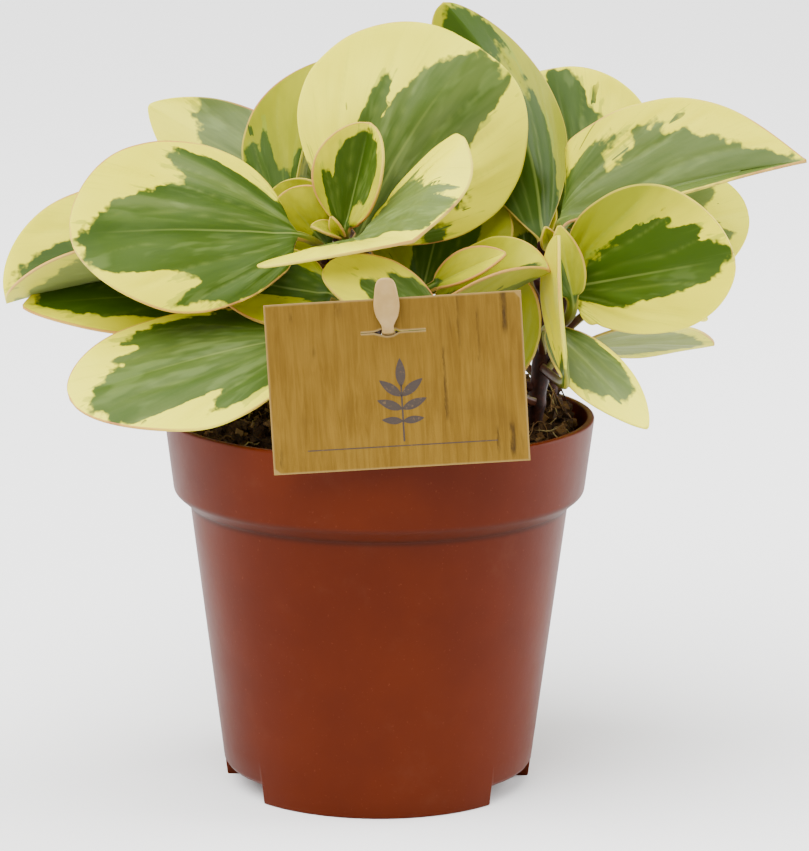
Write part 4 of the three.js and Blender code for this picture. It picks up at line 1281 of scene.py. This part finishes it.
def build_fibres(material):
    """Thin fibres of peat, bent to a parabola, that lie on the soil.

    A third of them lie near the stems on the right.
    """
    rng = np.random.default_rng(FIBRE_SEED)
    fibres = []
    tint = []
    s = np.linspace(-0.5, 0.5, FIBRE_STEPS)
    sides = grid_faces(FIBRE_STEPS, FIBRE_SIDES)
    for number in range(FIBRES):
        near_stems = number % 3 == 0
        angle = rng.uniform(-0.7, 0.8) if near_stems else rng.uniform(0, 2 * math.pi)
        spread = rng.uniform(36, 52) if near_stems else 50 * math.sqrt(rng.uniform(0, 1))
        heading = rng.uniform(0, 2 * math.pi)
        length = rng.uniform(4, 13)
        curve = rng.uniform(-5, 5) * s ** 2
        x = spread * math.cos(angle) + length * s * math.cos(heading) - curve * math.sin(heading)
        y = spread * math.sin(angle) + length * s * math.sin(heading) + curve * math.cos(heading)
        z = soil_height(x, y) + FIBRE_LIFT + rng.uniform(0, 1.2) * (0.25 - s ** 2) * 4
        radii = rng.uniform(0.1, 0.28) * (1.05 - (2 * s) ** 4)
        fibres.append((tube_rings(np.stack([x, y, z], -1), radii, FIBRE_SIDES), sides))
        tint.append(rng.uniform(0.35, 1.0))
    points, faces = joined(fibres)
    values = {"tint": np.repeat(tint, FIBRE_STEPS * FIBRE_SIDES)}
    make_piece("soil_fibres", points, faces, material, None, values)


peat = soil_material()
build_soil(peat)
build_crumbs(peat)
build_fibres(peat)

# Label card and its holder, as in the solids
CARD_WIDTH = 67.5
CARD_HEIGHT = 45.0
CARD_THICK = 0.7
CARD_MIDDLE = np.array([5.0, -62.2, 125.4])
CARD_ROLL = 3.8
CARD_LEAN = 4.0
CARD_CELL = 1.5
CARD_EDGE = 0.12
SLIT_WIDTH = 17.0
SLIT_HEIGHT = 2.2
SLIT_AT = (-0.2, 13.6)

# The slit stands open round the holder and is nearly closed beside it
SLIT_EASE = 0.1
SLIT_SHIFT = -1.3
SLIT_OPEN = 3.0
SLIT_PULL = 2.5
FAR_FROM_SLIT = 9.0

# Sections of the holder: across, up and out of the card's middle, half sizes, and lean
HOLDER_AT = -1.5
HOLDER_STEPS = 120
HOLDER_SIDES = 28
HOLDER_POWER = 0.75
HOLDER_ROWS = [
    (0, -44, -17, 1.6, 0.9, 14), (0, -20, -11, 1.7, 0.9, 14), (0, 2, -5.4, 1.9, 0.8, 15),
    (0, 10.6, -2.8, 1.9, 0.7, 25), (0, 12.9, -1, 1.8, 0.45, 60), (0, 14.1, 0.9, 1.6, 0.45, 60),
    (0, 15.6, 1.9, 1.7, 0.7, 25), (0, 18, 2.3, 2.9, 0.8, 4), (0, 20.5, 2.4, 3.4, 0.8, 0),
    (0, 23, 2.4, 3.2, 0.8, 0), (0, 26, 2.4, 2.7, 0.75, 0), (0, 27.4, 2.4, 2.0, 0.7, 0),
    (0, 28, 2.4, 1.0, 0.5, 0),
]

# Dark upright streaks of the printed wood: place across, low and high end, width, strength
STREAKS = [
    (29.0, 11.5, 24.0, 1.0, 0.7), (12.6, -10.5, 9.0, 0.5, 0.5), (29.6, -21.0, -12.0, 1.0, 0.75),
    (-14.4, 18.5, 24.0, 1.4, 0.3), (25.7, -20.0, -13.0, 0.6, 0.5), (-26.8, 17.5, 20.0, 0.7, 0.5),
    (-21.2, 8.0, 10.5, 0.7, 0.4), (17.0, 8.0, 24.0, 0.6, 0.25), (22.0, 4.0, 19.0, 0.5, 0.25),
    (-31.5, -21.0, -15.0, 0.6, 0.3),
]

# Printed sprig: each leaf's distance above the middle, its angle and its length
SPRIG_MIDDLE = (1.0, -2.5)
SPRIG_LEAVES = [
    (1.5, 90, 7.5), (-1.0, 38, 7.2), (-1.0, 142, 7.2), (-4.4, 22, 7.0), (-4.4, 158, 7.0),
    (-7.6, 6, 5.6), (-7.6, 174, 5.6),
]
SPRIG_STALK = (-13, 2)
SPRIG_STALK_HALF = 0.22
RULE_MIDDLE = (0.5, -16.6)
RULE_REACH = 25
RULE_HALF = 0.14
PRINT_STEPS = 13
PRINT_LIFT = 0.03


def card_frame():
    """The card's directions across, up and out toward the viewer, from its roll and lean."""
    roll = math.radians(CARD_ROLL)
    lean = math.radians(CARD_LEAN)
    across = np.array([math.cos(roll), 0, math.sin(roll)])
    upright = np.array([-math.sin(roll), 0, math.cos(roll)])
    up = unit(upright * math.cos(lean) + np.array([0, math.sin(lean), 0]))
    return across, up, np.cross(across, up)


ACROSS, UP, OUT = card_frame()


def on_card(u, v, w):
    """Places given across, up and out of the card's middle."""
    return CARD_MIDDLE + u[..., None] * ACROSS + v[..., None] * UP + w[..., None] * OUT


def card_material():
    """Stout card printed with upright wood grain, dark streaks and pale worn edges."""
    made, n, shader = new_material("card")
    u = n.value("u")
    v = n.value("v")

    def spot(across, up, shift):
        """A place on the card, multiplied each way, with a shift of its own."""
        return n.vector(n.times(u, across), n.times(v, up), shift)

    grain = n.noise(spot(0.16, 0.012, 0.0), 4.0, 5.0, 0.65, 0.6)
    lines = n.noise(spot(1.6, 0.03, 3.0), 1.0, 3.0, 0.6)
    clouds = n.noise(spot(0.05, 0.05, 7.0), 1.0, 3.0, 0.6)
    streak = n.noise(spot(0.42, 0.045, 12.0), 1.0, 2.0, 0.5)
    rough = n.even_noise(spot(1.1, 0.22, 21.0), 1.0, 3.0, 0.7)
    base = n.mix(n.step(grain, 0.3, 0.72), colour(99, 72, 15), colour(119, 90, 27))
    base = n.tint(base, lines, 0.5, 0.75, 0.22, (84, 57, 16))
    base = n.tint(base, clouds, 0.45, 0.7, 0.3, (126, 98, 34))
    base = n.tint(base, clouds, 0.5, 0.3, 0.3, (82, 58, 16))
    base = n.tint(base, v, -12.0, 20.0, 0.22, (80, 56, 12))
    base = n.tint(base, streak, 0.66, 0.78, 0.3, (46, 32, 14))
    for middle, low, high, width, strength in STREAKS:
        off = n.math("ABSOLUTE", n.add(n.add(u, -middle), n.times(rough, 1.6)))
        mark = n.rest(n.step(off, width * 0.3, width))
        ends = n.times(n.step(v, low - 1, low + 2), n.step(v, high + 1, high - 2))
        mark = n.times(n.times(mark, ends), n.add(strength, n.times(rough, 1.2)))
        base = n.mix(n.math("MAXIMUM", mark, 0.0, clamp=True), base, colour(44, 30, 12))
    worn = n.rest(n.step(n.add(n.value("edge"), n.times(clouds, 0.4)), 0.3, 0.9))
    base = n.mix(n.times(worn, 0.55), base, colour(150, 124, 74))
    crease = n.rest(n.step(n.add(n.value("gap"), n.times(clouds, 0.5)), 0.3, 0.9))
    base = n.mix(n.times(crease, 0.3), base, colour(180, 160, 116))
    normal = n.bump(n.noise(n.place(), 1500.0, 2.0), 0.0001, 0.35)
    n.fill(shader, Base_Color=base, Roughness=0.62, Normal=normal, Specular_IOR_Level=0.1)
    return made


def card_lines(half, middle, opening):
    """Lines of the card's grid one way, with those of its edges and of the slit among them."""
    low = middle - opening / 2
    high = middle + opening / 2
    stops = [-half, -half + CARD_EDGE, low, high, half - CARD_EDGE, half]
    parts = [np.linspace(a, b, max(int((b - a) / CARD_CELL), 2)) for a, b in zip(stops, stops[1:])]
    return np.unique(np.concatenate(parts).round(5))


def build_card(material):
    """A board with a slit: two faces on a grid without the slit's cells, joined at the rims."""
    half_wide = CARD_WIDTH / 2
    half_tall = CARD_HEIGHT / 2
    slit_u, slit_v = SLIT_AT
    us = card_lines(half_wide, slit_u, SLIT_WIDTH)
    vs = card_lines(half_tall, slit_v, SLIT_HEIGHT)
    u, v = np.meshgrid(us, vs)
    margin = np.minimum(half_wide - np.abs(u), half_tall - np.abs(v))

    # The slit's sides are drawn together beside the holder
    off = v - slit_v
    beside = np.clip(1 - ((u - slit_u - SLIT_SHIFT) / SLIT_OPEN) ** 2, 0, 1)
    opening = SLIT_EASE + (SLIT_HEIGHT / 2 - SLIT_EASE) * beside
    pull = np.exp(-np.maximum(np.abs(off) - SLIT_HEIGHT / 2, 0) / SLIT_PULL)
    near_slit = np.abs(u - slit_u) < SLIT_WIDTH / 2 + 0.01
    v = v - np.where(near_slit, np.sign(off) * (SLIT_HEIGHT / 2 - opening) * pull, 0)
    gap = np.where(near_slit, np.abs(v - slit_v) - opening, FAR_FROM_SLIT)
    thin = CARD_THICK / 2 - CARD_EDGE * (1 - smooth_step(-0.001, CARD_EDGE, margin))
    points = np.stack([on_card(u, v, thin), on_card(u, v, -thin)])

    # Walls stand on the edges of the kept cells that no other kept cell shares
    cells = grid_faces(len(vs), len(us), False)
    cell_u, cell_v = np.meshgrid((us[:-1] + us[1:]) / 2, (vs[:-1] + vs[1:]) / 2)
    in_slit_u = np.abs(cell_u - slit_u) < SLIT_WIDTH / 2
    in_slit_v = np.abs(cell_v - slit_v) < SLIT_HEIGHT / 2
    kept = cells[~(in_slit_u & in_slit_v).ravel()]
    edges = np.concatenate([kept[:, [i, (i + 1) % 4]] for i in range(4)]).tolist()
    known = {tuple(edge) for edge in edges}
    rim = np.array([edge for edge in edges if (edge[1], edge[0]) not in known])
    count = u.size
    walls = np.stack([rim[:, 1], rim[:, 0], rim[:, 0] + count, rim[:, 1] + count], -1)
    faces = np.concatenate([kept[:, ::-1], kept + count, walls[:, ::-1]])
    layers = {"u": u, "v": v, "edge": margin, "gap": gap}
    values = {key: np.tile(layer.ravel(), 2) for key, layer in layers.items()}
    make_piece("label_card_fine", points, faces, material, "label_card", values, False)


def ink_material():
    """Dark ink that is worn lighter in places."""
    made, n, shader = new_material("ink")
    wear = n.noise(n.place(), 900.0, 3.0, 0.7)
    base = n.mix(n.step(wear, 0.55, 0.75), colour(44, 30, 16), colour(84, 60, 26))
    n.fill(shader, Base_Color=base, Roughness=0.6)
    return made


def build_print(material):
    """A plain sprig of leaves and a thin rule, printed on the card as flat strips.

    A leaf's half width is a power of the sine along it, and less toward its tip.
    """
    middle_u, middle_v = SPRIG_MIDDLE
    x = np.linspace(0, 1, PRINT_STEPS)
    strips = []
    for above, degrees, length in SPRIG_LEAVES:
        wide = length * 0.2 * np.sin(math.pi * x) ** 0.8 * (1 - 0.35 * x) + 0.05
        strips.append((middle_u, middle_v + above, degrees, x * length, wide))
    stalk = np.linspace(*SPRIG_STALK, PRINT_STEPS)
    strips.append((middle_u, middle_v, 90, stalk, np.full(PRINT_STEPS, SPRIG_STALK_HALF)))
    rule = np.linspace(-RULE_REACH, RULE_REACH, PRINT_STEPS)
    strips.append((*RULE_MIDDLE, 0.0, rule, np.full(PRINT_STEPS, RULE_HALF)))
    cells = grid_faces(PRINT_STEPS, 2, False)[:, ::-1]
    printed = []
    for at_u, at_v, degrees, along, wide in strips:
        cos = math.cos(math.radians(degrees))
        sin = math.sin(math.radians(degrees))
        aside = np.stack([-wide, wide], -1)
        u = (at_u + along * cos)[:, None] - aside * sin
        v = (at_v + along * sin)[:, None] + aside * cos
        printed.append((on_card(u, v, np.full_like(u, CARD_THICK / 2 + PRINT_LIFT)), cells))
    points, faces = joined(printed)
    make_piece("label_print", points, faces, material, None, None, False)


def holder_material():
    """Beige plastic that lets a little light in, with a faint moulding grain."""
    made, n, shader = new_material("holder")
    clouds = n.noise(n.place(), 150.0, 3.0, 0.6)
    n.fill(
        shader,
        Base_Color=n.mix(n.step(clouds, 0.35, 0.7), colour(164, 134, 78), colour(150, 120, 62)),
        Roughness=n.add(0.4, n.times(clouds, 0.15)),
        Normal=n.bump(clouds, 0.0004, 0.4),
        Subsurface_Weight=0.25,
        Subsurface_Radius=(1.0, 0.7, 0.4),
        Subsurface_Scale=0.0015,
    )
    return made


def build_holder(material):
    """The stick and its tongue: sections between oval and square along a smooth line.

    The cosine and the sine round a section are raised to a power below one.
    """
    rows = smooth_rows(HOLDER_ROWS, HOLDER_STEPS)
    turn = -2 * math.pi * np.arange(HOLDER_SIDES) / HOLDER_SIDES
    wide = np.sign(np.cos(turn)) * np.abs(np.cos(turn)) ** HOLDER_POWER
    thick = np.sign(np.sin(turn)) * np.abs(np.sin(turn)) ** HOLDER_POWER
    lean = np.radians(rows[:, 5])[:, None]
    face = OUT * np.cos(lean) - UP * np.sin(lean)
    middle = on_card(HOLDER_AT + rows[:, 0], rows[:, 1], rows[:, 2])
    aside = ACROSS[None, None] * (rows[:, 3:4] * wide[None])[..., None]
    rise = face[:, None] * (rows[:, 4:5] * thick[None])[..., None]
    points = middle[:, None] + aside + rise
    faces = tube_faces(HOLDER_STEPS, HOLDER_SIDES)
    make_piece("label_holder_fine", points, faces, material, "label_holder")


build_card(card_material())
build_print(ink_material())
build_holder(holder_material())

# Stage, light and camera, in metres, watts and degrees
FLOOR_HALF = 20.0
WORLD_STRENGTH = 0.42
SUN_ANGLE = 70
SUN_STRENGTH = 8.0
SUN_PLACE = (-0.3, -0.4, 1.0)
LAMP_SIZE = 1.1
LAMP_AIM = (0, 0, 0.1)
LAMPS = (("light_left", (-1.25, 0.2, 0.55), 15.0), ("light_right", (1.25, 0.3, 0.55), 33.0))


def look_along(way):
    """Rows of a turn whose own -Z points along way."""
    back = -unit(np.array(way, float))
    right = unit(np.cross([0.0, 1.0, 0.02], back))
    return np.stack([right, np.cross(back, right), back], 1).tolist()


def build_stage():
    """A plain pale floor, a white surround and three soft lights."""
    s = FLOOR_HALF
    mesh = bpy.data.meshes.new("floor")
    mesh.from_pydata([(-s, -s, 0), (s, -s, 0), (s, s, 0), (-s, s, 0)], [], [(0, 1, 2, 3)])
    floor = bpy.data.objects.new("floor", mesh)
    bpy.context.scene.collection.objects.link(floor)
    made, n, shader = new_material("floor")
    n.fill(shader, Base_Color=(0.97, 0.97, 0.97, 1), Roughness=0.9, Specular_IOR_Level=0.1)
    mesh.materials.append(made)
    world = bpy.data.worlds.new("surround")
    world.use_nodes = True
    back = world.node_tree.nodes["Background"]
    back.inputs["Color"].default_value = (1, 1, 1, 1)
    back.inputs["Strength"].default_value = WORLD_STRENGTH
    bpy.context.scene.world = world
    sun = bpy.data.lights.new("sun", "SUN")
    sun.angle = math.radians(SUN_ANGLE)
    sun.energy = SUN_STRENGTH
    lamps = [(sun, SUN_PLACE, (0, 0, 0))]
    for name, place, power in LAMPS:
        lamp = bpy.data.lights.new(name, "AREA")
        lamp.size = LAMP_SIZE
        lamp.energy = power
        lamps.append((lamp, place, LAMP_AIM))
    for lamp, place, aim in lamps:
        light = bpy.data.objects.new(lamp.name, lamp)
        light.location = place
        light.rotation_mode = "QUATERNION"
        way = np.array(aim) - np.array(place)
        light.rotation_quaternion = Matrix(look_along(way)).to_quaternion()
        bpy.context.scene.collection.objects.link(light)


def build_camera():
    """The camera of the photograph, pitched down and rolled a little."""
    data = bpy.data.cameras.new("camera")
    data.sensor_width = SENSOR
    data.lens = FOCAL_PIXELS / PHOTO_HEIGHT * SENSOR
    data.clip_start = 0.05
    data.clip_end = 60
    camera = bpy.data.objects.new("camera", data)
    place = Matrix.Translation([c * MM for c in CAMERA_PLACE])
    pitch = Matrix.Rotation(math.radians(90 - CAMERA_PITCH), 4, "X")
    roll = Matrix.Rotation(math.radians(CAMERA_ROLL), 4, "Z")
    camera.matrix_world = place @ pitch @ roll
    bpy.context.scene.collection.objects.link(camera)
    bpy.context.scene.camera = camera


build_stage()
build_camera()
